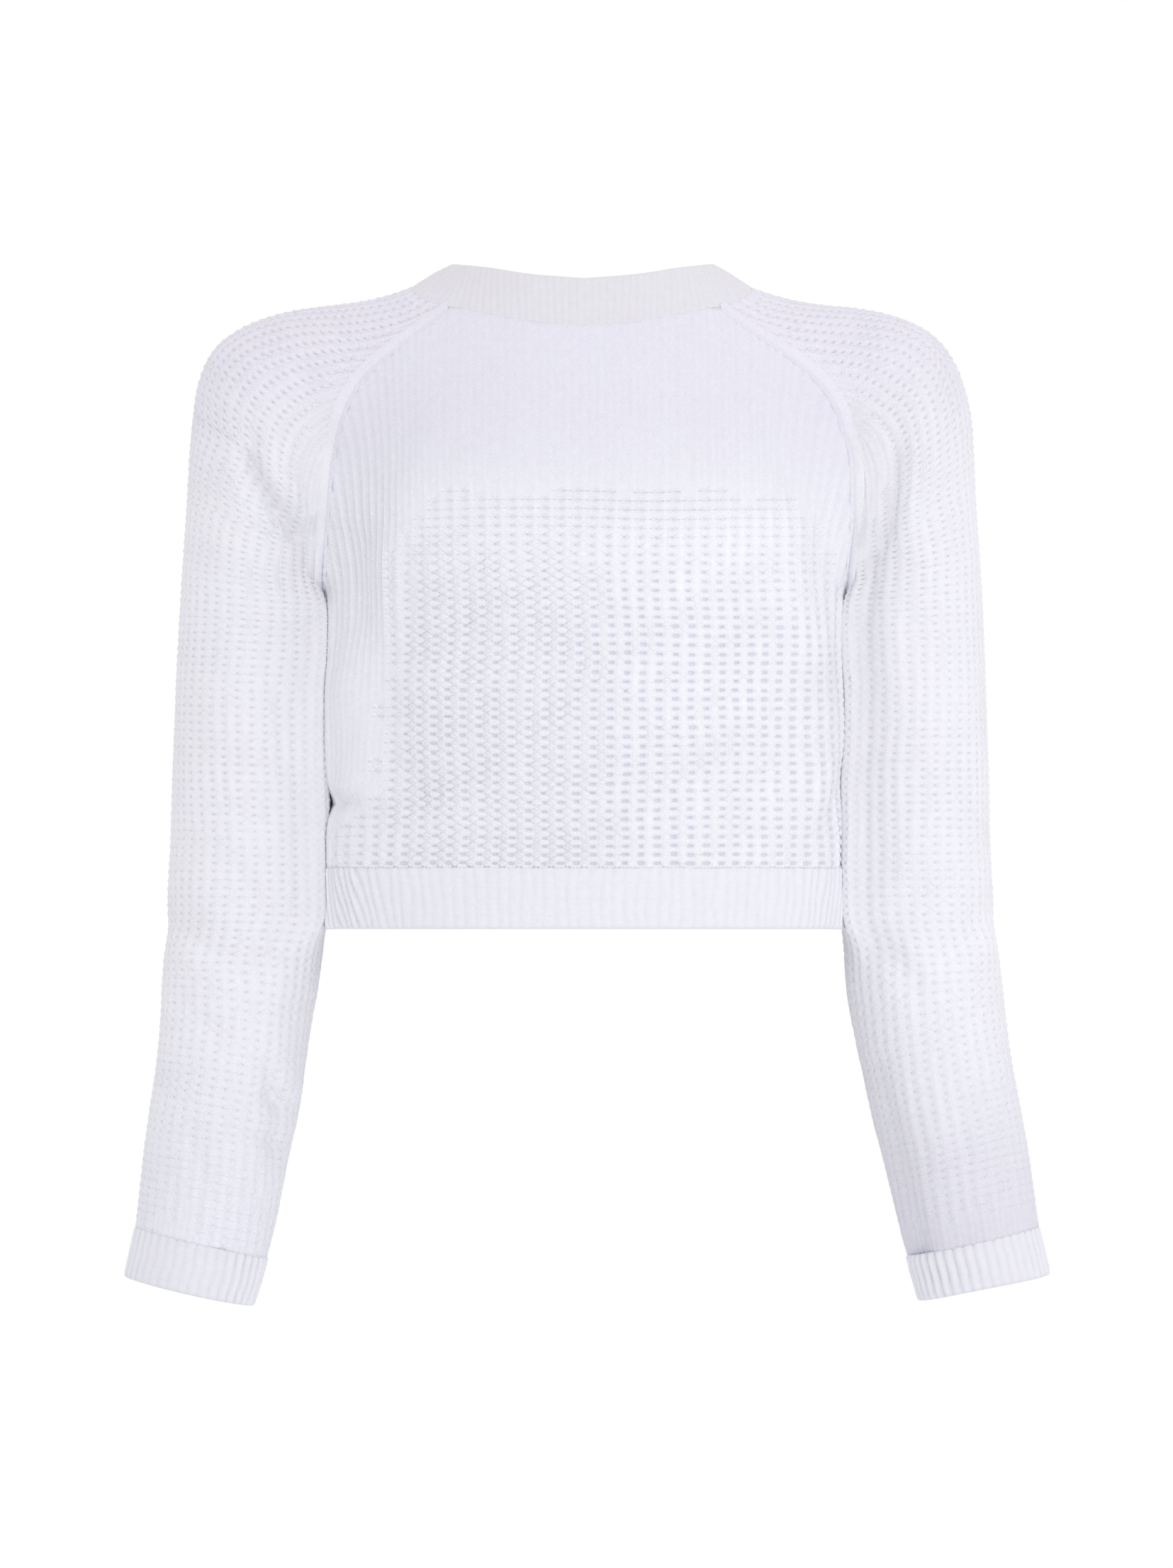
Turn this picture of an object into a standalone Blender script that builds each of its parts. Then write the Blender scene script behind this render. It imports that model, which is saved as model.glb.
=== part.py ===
"""Cropped raglan sweater in openwork rib knit, as worn, hollow.

Nine cut-and-sewn pieces, each a wall of cloth: front and back panels, two raglan sleeves, a crew
neckband, front and back hem ribs and two cuffs. Metres, +Z up, the front faces -Y. The origin lies
between the shoulder tops, where the garment hangs on its wearer.

Every wall follows one rounded form: torso sections by height, blended with a tube along each arm.
"""

import math

import bpy
import numpy as np

# ---------------------------------------------------------------- driving sizes (metres)
BODY_WALL = 0.0026  # cloth of the panels and sleeves
RIB_WALL = 0.0032  # cloth of the hem ribs and cuffs
NECK_WALL = 0.0040  # the doubled neckband
SEAM_GAP = 0.0003  # between neighbouring pieces

HEM_Z = -0.348  # lower edge of the garment
HEM_RIB_HEIGHT = 0.034
UNDERARM_Z = -0.168  # where the side seam, the raglan seams and the underarm seam meet
UNDERARM_X = 0.1478
CUFF_LENGTH = 0.027
RIB_PROUD = 0.0006  # the ribs stand this much outside the panels above them

PANEL_COLUMNS = 22  # facets across a body panel
SIDE_ROWS = 6  # rows of a body panel from the hem rib to the underarm
RAGLAN_ROWS = 10  # rows of a panel or sleeve along the raglan seam
SLEEVE_COLUMNS = 20  # facets round a sleeve
ARM_ROWS = 14  # rows of a sleeve from the cuff to the underarm
RIB_ROWS = 2

# ---------------------------------------------------------------- tables
# Torso sections: half width, depth to the front and to the back, exponent of the rounded outline.
TORSO = {
    "columns": ("z", "half_width", "front", "back", "squareness"),
    "rows": (
        (-0.3600, 0.1452, 0.1030, 0.0935, 2.30),
        (-0.3480, 0.1453, 0.1032, 0.0935, 2.30),
        (-0.3140, 0.1462, 0.1065, 0.0950, 2.32),
        (-0.2700, 0.1468, 0.1125, 0.0970, 2.32),
        (-0.2200, 0.1472, 0.1195, 0.1010, 2.32),
        (-0.1750, 0.1468, 0.1205, 0.1050, 2.32),
        (-0.1400, 0.1450, 0.1160, 0.1070, 2.30),
        (-0.1050, 0.1410, 0.1075, 0.1070, 2.25),
        (-0.0700, 0.1350, 0.0975, 0.1040, 2.20),
        (-0.0400, 0.1250, 0.0860, 0.0965, 2.15),
        (-0.0100, 0.1080, 0.0730, 0.0820, 2.10),
        (0.0150, 0.0860, 0.0630, 0.0660, 2.05),
        (0.0400, 0.0700, 0.0540, 0.0560, 2.00),
    ),
}
# Arm path from below the cuff, up the arm, over the shoulder and in to the neck. Left and right
# are as seen from the front, left at -X.
ARM = {
    "columns": ("z", "x_left", "x_right", "width_left", "width_right", "half_depth", "y"),
    "rows": (
        (-0.5850, 0.2300, 0.2330, 0.0355, 0.0360, 0.0365, -0.020),
        (-0.5510, 0.2234, 0.2264, 0.0363, 0.0368, 0.0385, -0.017),
        (-0.5250, 0.2173, 0.2208, 0.0391, 0.0390, 0.0405, -0.014),
        (-0.4640, 0.2055, 0.2072, 0.0409, 0.0409, 0.0440, -0.008),
        (-0.4240, 0.1985, 0.1985, 0.0422, 0.0422, 0.0465, -0.003),
        (-0.3840, 0.1935, 0.1917, 0.0446, 0.0444, 0.0485, 0.001),
        (-0.3520, 0.1920, 0.1898, 0.0445, 0.0430, 0.0500, 0.003),
        (-0.3040, 0.1912, 0.1887, 0.0422, 0.0405, 0.0515, 0.004),
        (-0.2560, 0.1904, 0.1885, 0.0416, 0.0396, 0.0525, 0.005),
        (-0.2080, 0.1893, 0.1880, 0.0407, 0.0384, 0.0535, 0.005),
        (-0.1600, 0.1880, 0.1872, 0.0398, 0.0378, 0.0545, 0.005),
        (-0.1120, 0.1840, 0.1825, 0.0400, 0.0385, 0.0545, 0.005),
        (-0.0800, 0.1790, 0.1765, 0.0440, 0.0430, 0.0540, 0.005),
        (-0.0590, 0.1770, 0.1762, 0.0460, 0.0462, 0.0530, 0.005),
        (-0.0455, 0.1690, 0.1688, 0.0466, 0.0468, 0.0505, 0.005),
        (-0.0430, 0.1480, 0.1480, 0.0468, 0.0468, 0.0485, 0.004),
        (-0.0370, 0.1220, 0.1220, 0.0440, 0.0440, 0.0465, 0.003),
        (-0.0270, 0.0960, 0.0960, 0.0390, 0.0390, 0.0450, 0.001),
        (-0.0200, 0.0760, 0.0760, 0.0340, 0.0340, 0.0440, 0.000),
        (-0.0170, 0.0400, 0.0400, 0.0330, 0.0330, 0.0430, 0.000),
        (-0.0170, 0.0000, 0.0000, 0.0320, 0.0320, 0.0420, 0.000),
    ),
}
# Raglan seams from the underarm to the neck, as directions from the middle of the torso.
RAGLAN = {
    "columns": ("z", "x_left", "x_right", "front_y", "back_x", "back_y", "back_z"),
    "rows": (
        (-0.1680, 0.1478, 0.1478, 0.000, 0.1478, 0.000, -0.1680),
        (-0.1540, 0.1475, 0.1482, -0.022, 0.1480, 0.020, -0.1520),
        (-0.1360, 0.1465, 0.1500, -0.041, 0.1480, 0.038, -0.1330),
        (-0.1140, 0.1450, 0.1520, -0.057, 0.1470, 0.055, -0.1110),
        (-0.0900, 0.1430, 0.1520, -0.070, 0.1450, 0.070, -0.0870),
        (-0.0660, 0.1390, 0.1470, -0.080, 0.1400, 0.082, -0.0620),
        (-0.0460, 0.1310, 0.1380, -0.085, 0.1310, 0.088, -0.0400),
        (-0.0310, 0.1190, 0.1240, -0.083, 0.1190, 0.086, -0.0210),
        (-0.0180, 0.1040, 0.1070, -0.074, 0.1060, 0.076, -0.0050),
        (-0.0060, 0.0880, 0.0900, -0.060, 0.0940, 0.060, 0.0080),
        (0.0045, 0.0740, 0.0760, -0.044, 0.0820, 0.042, 0.0165),
    ),
}
# The line on the top of the shoulder, from the outside of the arm at the underarm to the neck.
SHOULDER_LINE = {
    "columns": ("step", "x", "y", "z"),
    "rows": (
        (0.00, 0.2270, 0.004, -0.1680),
        (0.12, 0.2250, 0.004, -0.1300),
        (0.26, 0.2225, 0.004, -0.0840),
        (0.38, 0.2170, 0.004, -0.0400),
        (0.50, 0.1990, 0.004, -0.0120),
        (0.64, 0.1650, 0.003, 0.0010),
        (0.78, 0.1320, 0.000, 0.0060),
        (0.90, 0.1100, -0.003, 0.0120),
        (1.00, 0.0950, -0.005, 0.0165),
    ),
}
# Neckband: its seam to the panels and its top edge, round from the front centre to the back.
NECK = {
    "columns": ("angle", "seam_z", "top_x", "top_y", "top_z"),
    "rows": (
        (0.0, -0.0076, 0.0000, -0.0600, 0.0188),
        (23.0, -0.0050, 0.0300, -0.0565, 0.0212),
        (43.0, 0.0000, 0.0540, -0.0440, 0.0250),
        (60.0, 0.0045, 0.0665, -0.0290, 0.0265),
        (93.0, 0.0165, 0.0740, -0.0030, 0.0275),
        (117.0, 0.0165, 0.0670, 0.0230, 0.0285),
        (140.0, 0.0110, 0.0470, 0.0430, 0.0280),
        (160.0, 0.0070, 0.0250, 0.0520, 0.0265),
        (180.0, 0.0050, 0.0000, 0.0550, 0.0260),
    ),
}
# The largest folds, as soft troughs (positive depth) and ridges (negative) along a line.
FOLDS = {
    "columns": ("x0", "y0", "z0", "x1", "y1", "z1", "depth", "width"),
    "rows": (
        (-0.186, -0.050, -0.078, -0.160, -0.046, -0.126, 0.0050, 0.013),
        (-0.170, -0.054, -0.070, -0.152, -0.054, -0.112, -0.0025, 0.012),
        (0.176, -0.052, -0.072, 0.170, -0.050, -0.128, 0.0050, 0.012),
        (0.168, -0.050, -0.128, 0.154, -0.036, -0.196, 0.0035, 0.013),
        (-0.130, -0.070, -0.140, -0.118, -0.085, -0.215, 0.0050, 0.016),
        (-0.152, 0.000, -0.276, -0.126, -0.055, -0.279, 0.0045, 0.010),
        (0.146, -0.020, -0.262, 0.124, -0.060, -0.300, 0.0025, 0.012),
        (-0.182, 0.060, -0.085, -0.156, 0.050, -0.132, 0.0040, 0.014),
        (0.182, 0.060, -0.085, 0.156, 0.050, -0.132, 0.0040, 0.014),
        (-0.060, 0.108, -0.215, 0.070, 0.106, -0.238, 0.0045, 0.020),
        (-0.080, 0.100, -0.275, 0.050, 0.100, -0.258, 0.0030, 0.016),
        (-0.232, 0.010, -0.350, -0.190, -0.040, -0.372, 0.0025, 0.012),
        (0.232, 0.010, -0.352, 0.190, 0.046, -0.374, 0.0025, 0.012),
    ),
}


def column(table, name):
    at = table["columns"].index(name)
    return np.array([row[at] for row in table["rows"]], float)


def smooth(xs, ys, at):
    """A smooth curve through (xs, ys) with no overshoot, read at the numbers in at."""
    xs, ys, at = np.asarray(xs), np.asarray(ys), np.asarray(at, float)
    rise = np.diff(ys) / np.diff(xs)
    slope = np.zeros(len(xs))
    slope[0], slope[-1] = rise[0], rise[-1]
    same = rise[:-1] * rise[1:] > 0
    slope[1:-1][same] = 2 * rise[:-1][same] * rise[1:][same] / (rise[:-1] + rise[1:])[same]
    i = np.clip(np.searchsorted(xs, at, side="right") - 1, 0, len(xs) - 2)
    h = xs[i + 1] - xs[i]
    t = np.clip((at - xs[i]) / h, 0, 1)
    return (
        ys[i] * (1 + 2 * t) * (1 - t) ** 2
        + slope[i] * h * t * (1 - t) ** 2
        + ys[i + 1] * t * t * (3 - 2 * t)
        + slope[i + 1] * h * t * t * (t - 1)
    )


def read(table, key, name, at):
    return smooth(column(table, key), column(table, name), at)


def step(low, high, value):
    t = np.clip((value - low) / (high - low), 0, 1)
    return t * t * (3 - 2 * t)


def arm_path(side, samples=110):
    """Points along one arm's middle in X and Z, with the half width, half depth and y there."""
    where = "left" if side < 0 else "right"
    x, z = column(ARM, f"x_{where}"), column(ARM, "z")
    along = np.concatenate([[0], np.cumsum(np.hypot(np.diff(x), np.diff(z)))])
    at = np.linspace(0, along[-1], samples)
    values = [x, z, column(ARM, f"width_{where}"), column(ARM, "half_depth"), column(ARM, "y")]
    path = np.stack([catmull(along, v, at) for v in values], axis=1)
    tangent = np.gradient(path, at, axis=0)
    return at, path, tangent


def catmull(xs, ys, at):
    """A rounder curve than smooth(), for paths that turn a corner."""
    slope = np.gradient(ys, xs)
    i = np.clip(np.searchsorted(xs, at, side="right") - 1, 0, len(xs) - 2)
    h = xs[i + 1] - xs[i]
    t = np.clip((at - xs[i]) / h, 0, 1)
    return (
        ys[i] * (1 + 2 * t) * (1 - t) ** 2
        + slope[i] * h * t * (1 - t) ** 2
        + ys[i + 1] * t * t * (3 - 2 * t)
        + slope[i + 1] * h * t * t * (t - 1)
    )


PATHS = {side: arm_path(side) for side in (-1, 1)}


def torso_gap(p):
    """How far outside the torso's form each point is, negative inside."""
    z = p[:, 2]
    half_width = read(TORSO, "z", "half_width", z)
    depth = np.where(p[:, 1] < 0, read(TORSO, "z", "front", z), read(TORSO, "z", "back", z))
    n = read(TORSO, "z", "squareness", z)
    q = ((np.abs(p[:, 0]) / half_width) ** n + (np.abs(p[:, 1]) / depth) ** n) ** (1 / n)
    return np.hypot(p[:, 0], p[:, 1]) * (1 - 1 / np.maximum(q, 1e-6))


def arm_gap(p, side):
    """The same for the tube along one arm."""
    at, path, tangent = PATHS[side]
    x, z = p[:, 0] * side, p[:, 2]
    near = ((x[:, None] - path[:, 0]) ** 2 + (z[:, None] - path[:, 1]) ** 2).argmin(axis=1)
    along = at[near]
    for _ in range(3):
        here = np.stack([np.interp(along, at, path[:, i]) for i in range(5)], axis=1)
        run = np.stack([np.interp(along, at, tangent[:, i]) for i in range(2)], axis=1)
        ahead = (x - here[:, 0]) * run[:, 0] + (z - here[:, 1]) * run[:, 1]
        along = np.clip(along + ahead / (run**2).sum(axis=1), at[near] - 0.01, at[near] + 0.01)
    here = np.stack([np.interp(along, at, path[:, i]) for i in range(5)], axis=1)
    d = np.hypot(x - here[:, 0], z - here[:, 1])
    y = p[:, 1] - here[:, 4]
    q = ((d / here[:, 2]) ** 2.1 + (np.abs(y) / here[:, 3]) ** 2.1) ** (1 / 2.1)
    return np.hypot(d, y) * (1 - 1 / np.maximum(q, 1e-6))


def fold_depth(p):
    """How far the folds push the cloth in at each point."""
    total = np.zeros(len(p))
    for x0, y0, z0, x1, y1, z1, depth, width in FOLDS["rows"]:
        a, b = np.array([x0, y0, z0]), np.array([x1, y1, z1])
        t = np.clip((p - a) @ (b - a) / ((b - a) @ (b - a)), 0, 1)
        d = np.linalg.norm(p - a - t[:, None] * (b - a), axis=1)
        total += depth * np.exp(-((d / width) ** 2))
    return total


def form_gap(p, parts="both"):
    """The garment's outer form: torso, arm or the two blended above the underarm."""
    side = np.where(p[:, 0] < 0, -1, 1)
    torso = arm = None
    if parts != "arm":
        torso = torso_gap(p)
    if parts != "torso":
        arm = np.where(side < 0, arm_gap(p, -1), arm_gap(p, 1))
    if parts == "torso":
        gap = torso
    elif parts == "arm":
        gap = arm
    else:
        k = 0.008 + 0.024 * step(UNDERARM_Z, -0.095, p[:, 2])
        h = np.clip(0.5 + 0.5 * (arm - torso) / k, 0, 1)
        gap = arm * (1 - h) + torso * h - k * h * (1 - h)
    return gap + fold_depth(p)


def cast(origin, direction, parts="both", steps=60):
    """From points inside, along directions, to the form's surface."""
    direction = direction / np.linalg.norm(direction, axis=1, keepdims=True)
    far = np.full(len(origin), 0.005)
    for _ in range(steps):
        gap = form_gap(origin + direction * far[:, None], parts)
        far = np.maximum(far - 0.75 * gap, 0)
    return origin + direction * far[:, None]


# How far the blended form may stand outside the torso or the arm alone, by raglan row. Low down
# they lie side by side, and the cloth of one doesn't bridge over to the other.
BRIDGE = (0.0, 0.003, 0.008, 0.016, 0.030)


def cast_by(origin, direction, parts, row):
    """cast() on the blended form, held near one part on the lowest raglan rows."""
    if row == 0:
        return cast(origin, direction, parts)
    wide = cast(origin, direction)
    if row >= len(BRIDGE):
        return wide
    near = cast(origin, direction, parts)
    more = np.linalg.norm(wide - origin, axis=1) - np.linalg.norm(near - origin, axis=1)
    more = BRIDGE[row] * np.tanh(np.maximum(more, 0) / BRIDGE[row])
    return near + unit(near - origin) * more[:, None]


def normals(p, parts="both"):
    """The way out of the form at each point."""
    h = 2e-4
    ways = [
        form_gap(p + np.eye(3)[i] * h, parts) - form_gap(p - np.eye(3)[i] * h, parts)
        for i in range(3)
    ]
    n = np.stack(ways, axis=1)
    return n / np.linalg.norm(n, axis=1, keepdims=True)


def unit(v):
    return v / np.linalg.norm(v, axis=-1, keepdims=True)


def spaced(points, count, also=None):
    """count + 1 points evenly spaced along a polyline, with the values in also read there too."""
    run = np.concatenate([[0], np.cumsum(np.linalg.norm(np.diff(points, axis=0), axis=1))])
    at = np.linspace(0, run[-1], count + 1)
    out = np.stack([np.interp(at, run, points[:, i]) for i in range(3)], axis=1)
    return out if also is None else (out, np.interp(at, run, also))


def neck_seam(angles):
    """Points of the seam between the neckband and the panels. Angle 0 is the front centre, 90 the
    right side and 180 the back centre."""
    turn = np.radians(angles)
    z = read(NECK, "angle", "seam_z", np.abs((np.asarray(angles) + 180) % 360 - 180))
    direction = np.stack([np.sin(turn), -np.cos(turn), np.zeros_like(turn)], axis=1)
    origin = np.stack([np.zeros_like(z), np.zeros_like(z), z], axis=1)
    return cast(origin, direction)


def raglan(side, front):
    """The raglan seam from the underarm to the neck: RAGLAN_ROWS + 1 points, and for each the
    angle of its direction from the torso's middle."""
    where = "left" if side < 0 else "right"
    if front:
        x, y, z = column(RAGLAN, f"x_{where}"), column(RAGLAN, "front_y"), column(RAGLAN, "z")
    else:
        x, y, z = column(RAGLAN, "back_x"), column(RAGLAN, "back_y"), column(RAGLAN, "back_z")
    points = np.stack([x * side, y, z], axis=1)
    origin = np.stack([0 * x, 0 * x, z], axis=1)
    # The direction at which the form is as wide as the table says.
    least, most = np.zeros(len(x)), np.full(len(x), math.pi / 2)
    for _ in range(24):
        turn = (least + most) / 2
        ahead = -1 if front else 1
        way = np.stack([side * np.sin(turn), ahead * np.cos(turn), 0 * turn], axis=1)
        hit = cast(origin, way)
        wide = np.abs(hit[:, 0]) > x
        least, most = np.where(wide, least, turn), np.where(wide, turn, most)
    # Low on the seam the cloth dips into the fold between arm and body, where the table holds it.
    low = 1 - step(UNDERARM_Z, -0.125, z)[:, None]
    hit = hit * (1 - low) + points * low
    angle = np.degrees(np.arctan2(np.abs(hit[:, 0]), -hit[:, 1]))
    hit[0] = (UNDERARM_X * side, 0, UNDERARM_Z)
    hit[-1] = neck_seam([angle[-1] * side])[0]
    return hit, angle


SEAMS = {(side, front): raglan(side, front) for side in (-1, 1) for front in (True, False)}


def seam_normals(points):
    """The way out at a raglan seam. At the underarm the cloth faces down."""
    n = normals(points)
    low = (1 - step(UNDERARM_Z, -0.140, points[:, 2]))[:, None]
    return unit(n * (1 - low) + np.array([0, 0, -1.0]) * low)


def body_grid(front):
    """Outer points and normals of a body panel, row by row from the hem rib up, and column by
    column from -X to +X."""
    sign = 1 if front else -1
    rows, ways = [], []
    for z in np.linspace(HEM_Z + HEM_RIB_HEIGHT + SEAM_GAP, UNDERARM_Z, SIDE_ROWS + 1)[:-1]:
        points = torso_row(z, sign, 90.0, 90.0)
        rows.append(points)
        ways.append(normals(points, "torso"))
    left, left_angle = SEAMS[-1, front]
    right, right_angle = SEAMS[1, front]
    for i in range(RAGLAN_ROWS + 1):
        a, b = left_angle[i], right_angle[i]
        angles = np.linspace(-a, b, 90) if front else np.linspace(360 - a, b, 90)
        turn = np.radians(angles)
        share = np.linspace(0, 1, len(angles))
        z = left[i, 2] * (1 - share) + right[i, 2] * share
        # The top row dips along the neckline, and the rows under it follow it less and less.
        lean = step(0.45, 1.0, i / RAGLAN_ROWS)
        around = np.abs((angles + 180) % 360 - 180)
        spread = np.abs(2 * share - 1)
        top = left_angle[-1] if front else 180 - left_angle[-1]
        neck_at = spread * top if front else 180 - spread * top
        if i == RAGLAN_ROWS:
            neck_at = around
        neck_z = read(NECK, "angle", "seam_z", neck_at)
        end_z = read(NECK, "angle", "seam_z", np.array([left_angle[-1]]))[0]
        z = z + lean * (neck_z - end_z)
        origin = np.stack([0 * z, 0 * z, z], axis=1)
        direction = np.stack([np.sin(turn), -np.cos(turn), 0 * turn], axis=1)
        points = cast_by(origin, direction, "torso", i)
        reach = np.stack([share, 1 - share])
        for end, target in ((0, left[i]), (-1, right[i])):
            pull = np.exp(-((reach[0 if end == 0 else 1] / 0.06) ** 2))[:, None]
            points = points + (target - points[end]) * pull
        points = spaced(points, PANEL_COLUMNS)
        n = normals(points, "torso" if i == 0 else "both")
        n[0] = seam_normals(left[i : i + 1])[0]
        n[-1] = seam_normals(right[i : i + 1])[0]
        rows.append(points)
        ways.append(n)
    return np.array(rows), np.array(ways)


def torso_row(z, sign, left_angle, right_angle, columns=PANEL_COLUMNS, proud=0.0):
    """A level row round the front (sign 1) or back (sign -1) of the torso, from -X to +X."""
    turn = np.radians(np.linspace(-left_angle, right_angle, 90))
    direction = np.stack([np.sin(turn), -sign * np.cos(turn), 0 * turn], axis=1)
    origin = np.tile([0.0, 0.0, z], (len(turn), 1))
    points = cast(origin, direction, "torso")
    points = points + normals(points, "torso") * [[proud, proud, 0]]
    return spaced(points, columns)


def arm_ring(side, along, columns, proud=0.0, samples=120):
    """A ring round the arm, square to its path, from its inner side over the front, the outer side
    and the back to the inner side again."""
    at, path, tangent = PATHS[side]
    x, z, _, _, y = (np.interp(along, at, path[:, i]) for i in range(5))
    tx, tz = np.interp(along, at, tangent[:, 0]), np.interp(along, at, tangent[:, 1])
    out = np.array([tz, 0, -tx]) / math.hypot(tx, tz)
    turn = np.linspace(0, 2 * math.pi, samples + 1)
    origin = np.tile([x * side, y, z], (len(turn), 1))
    wide = out * [side, 1, 1]
    direction = -np.cos(turn)[:, None] * wide - np.sin(turn)[:, None] * [0, 1, 0]
    points = cast(origin, direction, "arm")
    points = points + normals(points, "arm") * proud
    return spaced(points, columns)


def underarm_along(side):
    at, path, _ = PATHS[side]
    low = path[: len(path) // 2, 1]
    return np.interp(UNDERARM_Z, low, at[: len(low)])


def cuff_top_along(side):
    at, path, _ = PATHS[side]
    low = path[: len(path) // 2, 1]
    bottom = np.interp(-0.5510, low, at[: len(low)])
    return bottom, bottom + CUFF_LENGTH


def sleeve_grid(side):
    """Outer points and normals of a sleeve, row by row from the cuff to the neck, and column by
    column from the front edge over the outer side to the back edge."""
    rows, ways = [], []
    start, end = cuff_top_along(side)[1] + SEAM_GAP, underarm_along(side)
    for along in np.linspace(start, end, ARM_ROWS + 1)[:-1]:
        points = arm_ring(side, along, SLEEVE_COLUMNS)
        rows.append(points)
        ways.append(normals(points, "arm"))
    front, _ = SEAMS[side, True]
    back, _ = SEAMS[side, False]
    angle_front, angle_back = SEAMS[side, True][1][-1], SEAMS[side, False][1][-1]
    neck = neck_seam(np.linspace(angle_front, angle_back, 90) * side)
    line = np.stack([column(SHOULDER_LINE, c) for c in "xyz"], axis=1) * [side, 1, 1]
    steps = column(SHOULDER_LINE, "step")
    line[-1] = neck[len(neck) // 2]
    off = None
    for i in reversed(range(RAGLAN_ROWS + 1)):
        share = i / RAGLAN_ROWS
        over = np.array([smooth(steps, line[:, c], share) for c in range(3)])
        middle = 0.5 * (front[i] + back[i])
        centre = middle + (over - middle) * (0.5 - 0.15 * step(0.0, 0.5, share))
        up = unit(over - centre)
        across = unit(back[i] - front[i]) if i else np.array([0.0, 1.0, 0.0])
        across = unit(across - (across @ up) * up)
        first, last = front[i] - centre, back[i] - centre
        a0 = math.atan2(first @ across, first @ up)
        a1 = math.atan2(last @ across, last @ up)
        if i == 0:
            a0, a1 = -math.pi, math.pi
        turn = np.linspace(a0, a1, 120)
        direction = np.cos(turn)[:, None] * up + np.sin(turn)[:, None] * across
        points = cast_by(np.tile(centre, (len(turn), 1)), direction, "arm", i)
        run = np.linspace(0, 1, len(turn))
        for end, target in ((0, front[i]), (-1, back[i])):
            pull = np.exp(-(((run if end == 0 else 1 - run) / 0.07) ** 2))[:, None]
            points = points + (target - points[end]) * pull
        points = spaced(points, SLEEVE_COLUMNS)
        if i == RAGLAN_ROWS:
            exact = spaced(neck, SLEEVE_COLUMNS)
            off = exact - points
            points = exact
        else:
            moved = points + off * step(0.6, 1.0, share)
            moved[[0, -1]] = points[[0, -1]]
            points = moved
        n = normals(points, "arm" if i == 0 else "both")
        n[0] = seam_normals(front[i : i + 1])[0]
        n[-1] = seam_normals(back[i : i + 1])[0]
        rows.insert(ARM_ROWS, points)
        ways.insert(ARM_ROWS, n)
    return np.array(rows), np.array(ways)


def drawn_in(grid, ways, raglan_rows, towards):
    """The grid with its side and top edges moved in by half a seam gap. The side edges of the last
    raglan_rows + 1 rows move square to the raglan seam, left and right in X as towards says."""
    out = grid.copy()
    half = SEAM_GAP / 2
    first = len(grid) - raglan_rows - 1
    for (j, k), x_way in zip(((0, 1), (-1, -2)), towards, strict=True):
        edge = grid[:, j]
        out[: first + 1, j] += unit(grid[: first + 1, k] - edge[: first + 1]) * half
        if raglan_rows:
            seam = edge[first:]
            across = unit(np.cross(np.gradient(seam, axis=0), ways[first:, j]))
            across *= np.sign(across[:, :1]) * x_way
            out[first:, j] += across * half
    if raglan_rows:
        edge = grid[-1]
        out[-1] += unit(grid[-2] - edge) * half
    return out


def add_wall(name, outer, inner, colour, collection, closed=False):
    """A wall between two matching grids. A closed one joins its last column to its first."""
    rows, columns = outer.shape[:2]
    points = np.concatenate([outer.reshape(-1, 3), inner.reshape(-1, 3)])
    half = rows * columns

    def at(skin, r, c):
        return skin * half + r * columns + c % columns

    faces = []
    around = columns if closed else columns - 1
    for r in range(rows - 1):
        for c in range(around):
            quad = [at(0, r, c), at(0, r, c + 1), at(0, r + 1, c + 1), at(0, r + 1, c)]
            faces.append(quad)
            faces.append([i + half for i in reversed(quad)])
    def rim(a, b, flip):
        """Two triangles closing the wall between outer points a and b. Their diagonal starts from
        the lower one, so that two pieces that share a seam are cut alike."""
        c, d = b + half, a + half
        lower = points[a] @ (0.1, 0.3, 1) < points[b] @ (0.1, 0.3, 1)
        halves = [[b, a, c], [a, d, c]] if lower else [[b, a, d], [b, d, c]]
        faces.extend(face[::-1] if flip else face for face in halves)

    for r, flip in ((0, False), (rows - 1, True)):
        for c in range(around):
            rim(at(0, r, c), at(0, r, c + 1), flip)
    if not closed:
        for c, flip in ((0, True), (columns - 1, False)):
            for r in range(rows - 1):
                rim(at(0, r, c), at(0, r + 1, c), flip)
    mesh = bpy.data.meshes.new(name)
    mesh.from_pydata(points.tolist(), [], faces)
    mesh.update()
    if signed_volume(points, faces) < 0:
        mesh.flip_normals()
    mesh.shade_smooth()
    mesh.set_sharp_from_angle(angle=math.radians(50))
    thing = bpy.data.objects.new(name, mesh)
    collection.objects.link(thing)
    mesh.materials.append(cloth(name, colour))
    return thing


def signed_volume(points, faces):
    total = 0.0
    for face in faces:
        for i in range(1, len(face) - 1):
            a, b, c = points[face[0]], points[face[i]], points[face[i + 1]]
            total += np.dot(a, np.cross(b, c))
    return total


def cloth(name, colour):
    material = bpy.data.materials.new(f"{name}_knit")
    material.use_nodes = True
    shader = material.node_tree.nodes["Principled BSDF"]
    shader.inputs["Base Color"].default_value = (*colour, 1)
    shader.inputs["Roughness"].default_value = 0.9
    shader.inputs["Metallic"].default_value = 0.0
    return material


def build_panel(name, front, colour, collection):
    grid, ways = body_grid(front)
    grid = drawn_in(grid, ways, RAGLAN_ROWS, (1, -1))
    add_wall(name, grid, grid - ways * BODY_WALL, colour, collection)


def build_sleeve(name, side, colour, collection):
    grid, ways = sleeve_grid(side)
    grid = drawn_in(grid, ways, RAGLAN_ROWS, (side, side))
    add_wall(name, grid, grid - ways * BODY_WALL, colour, collection)


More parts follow.
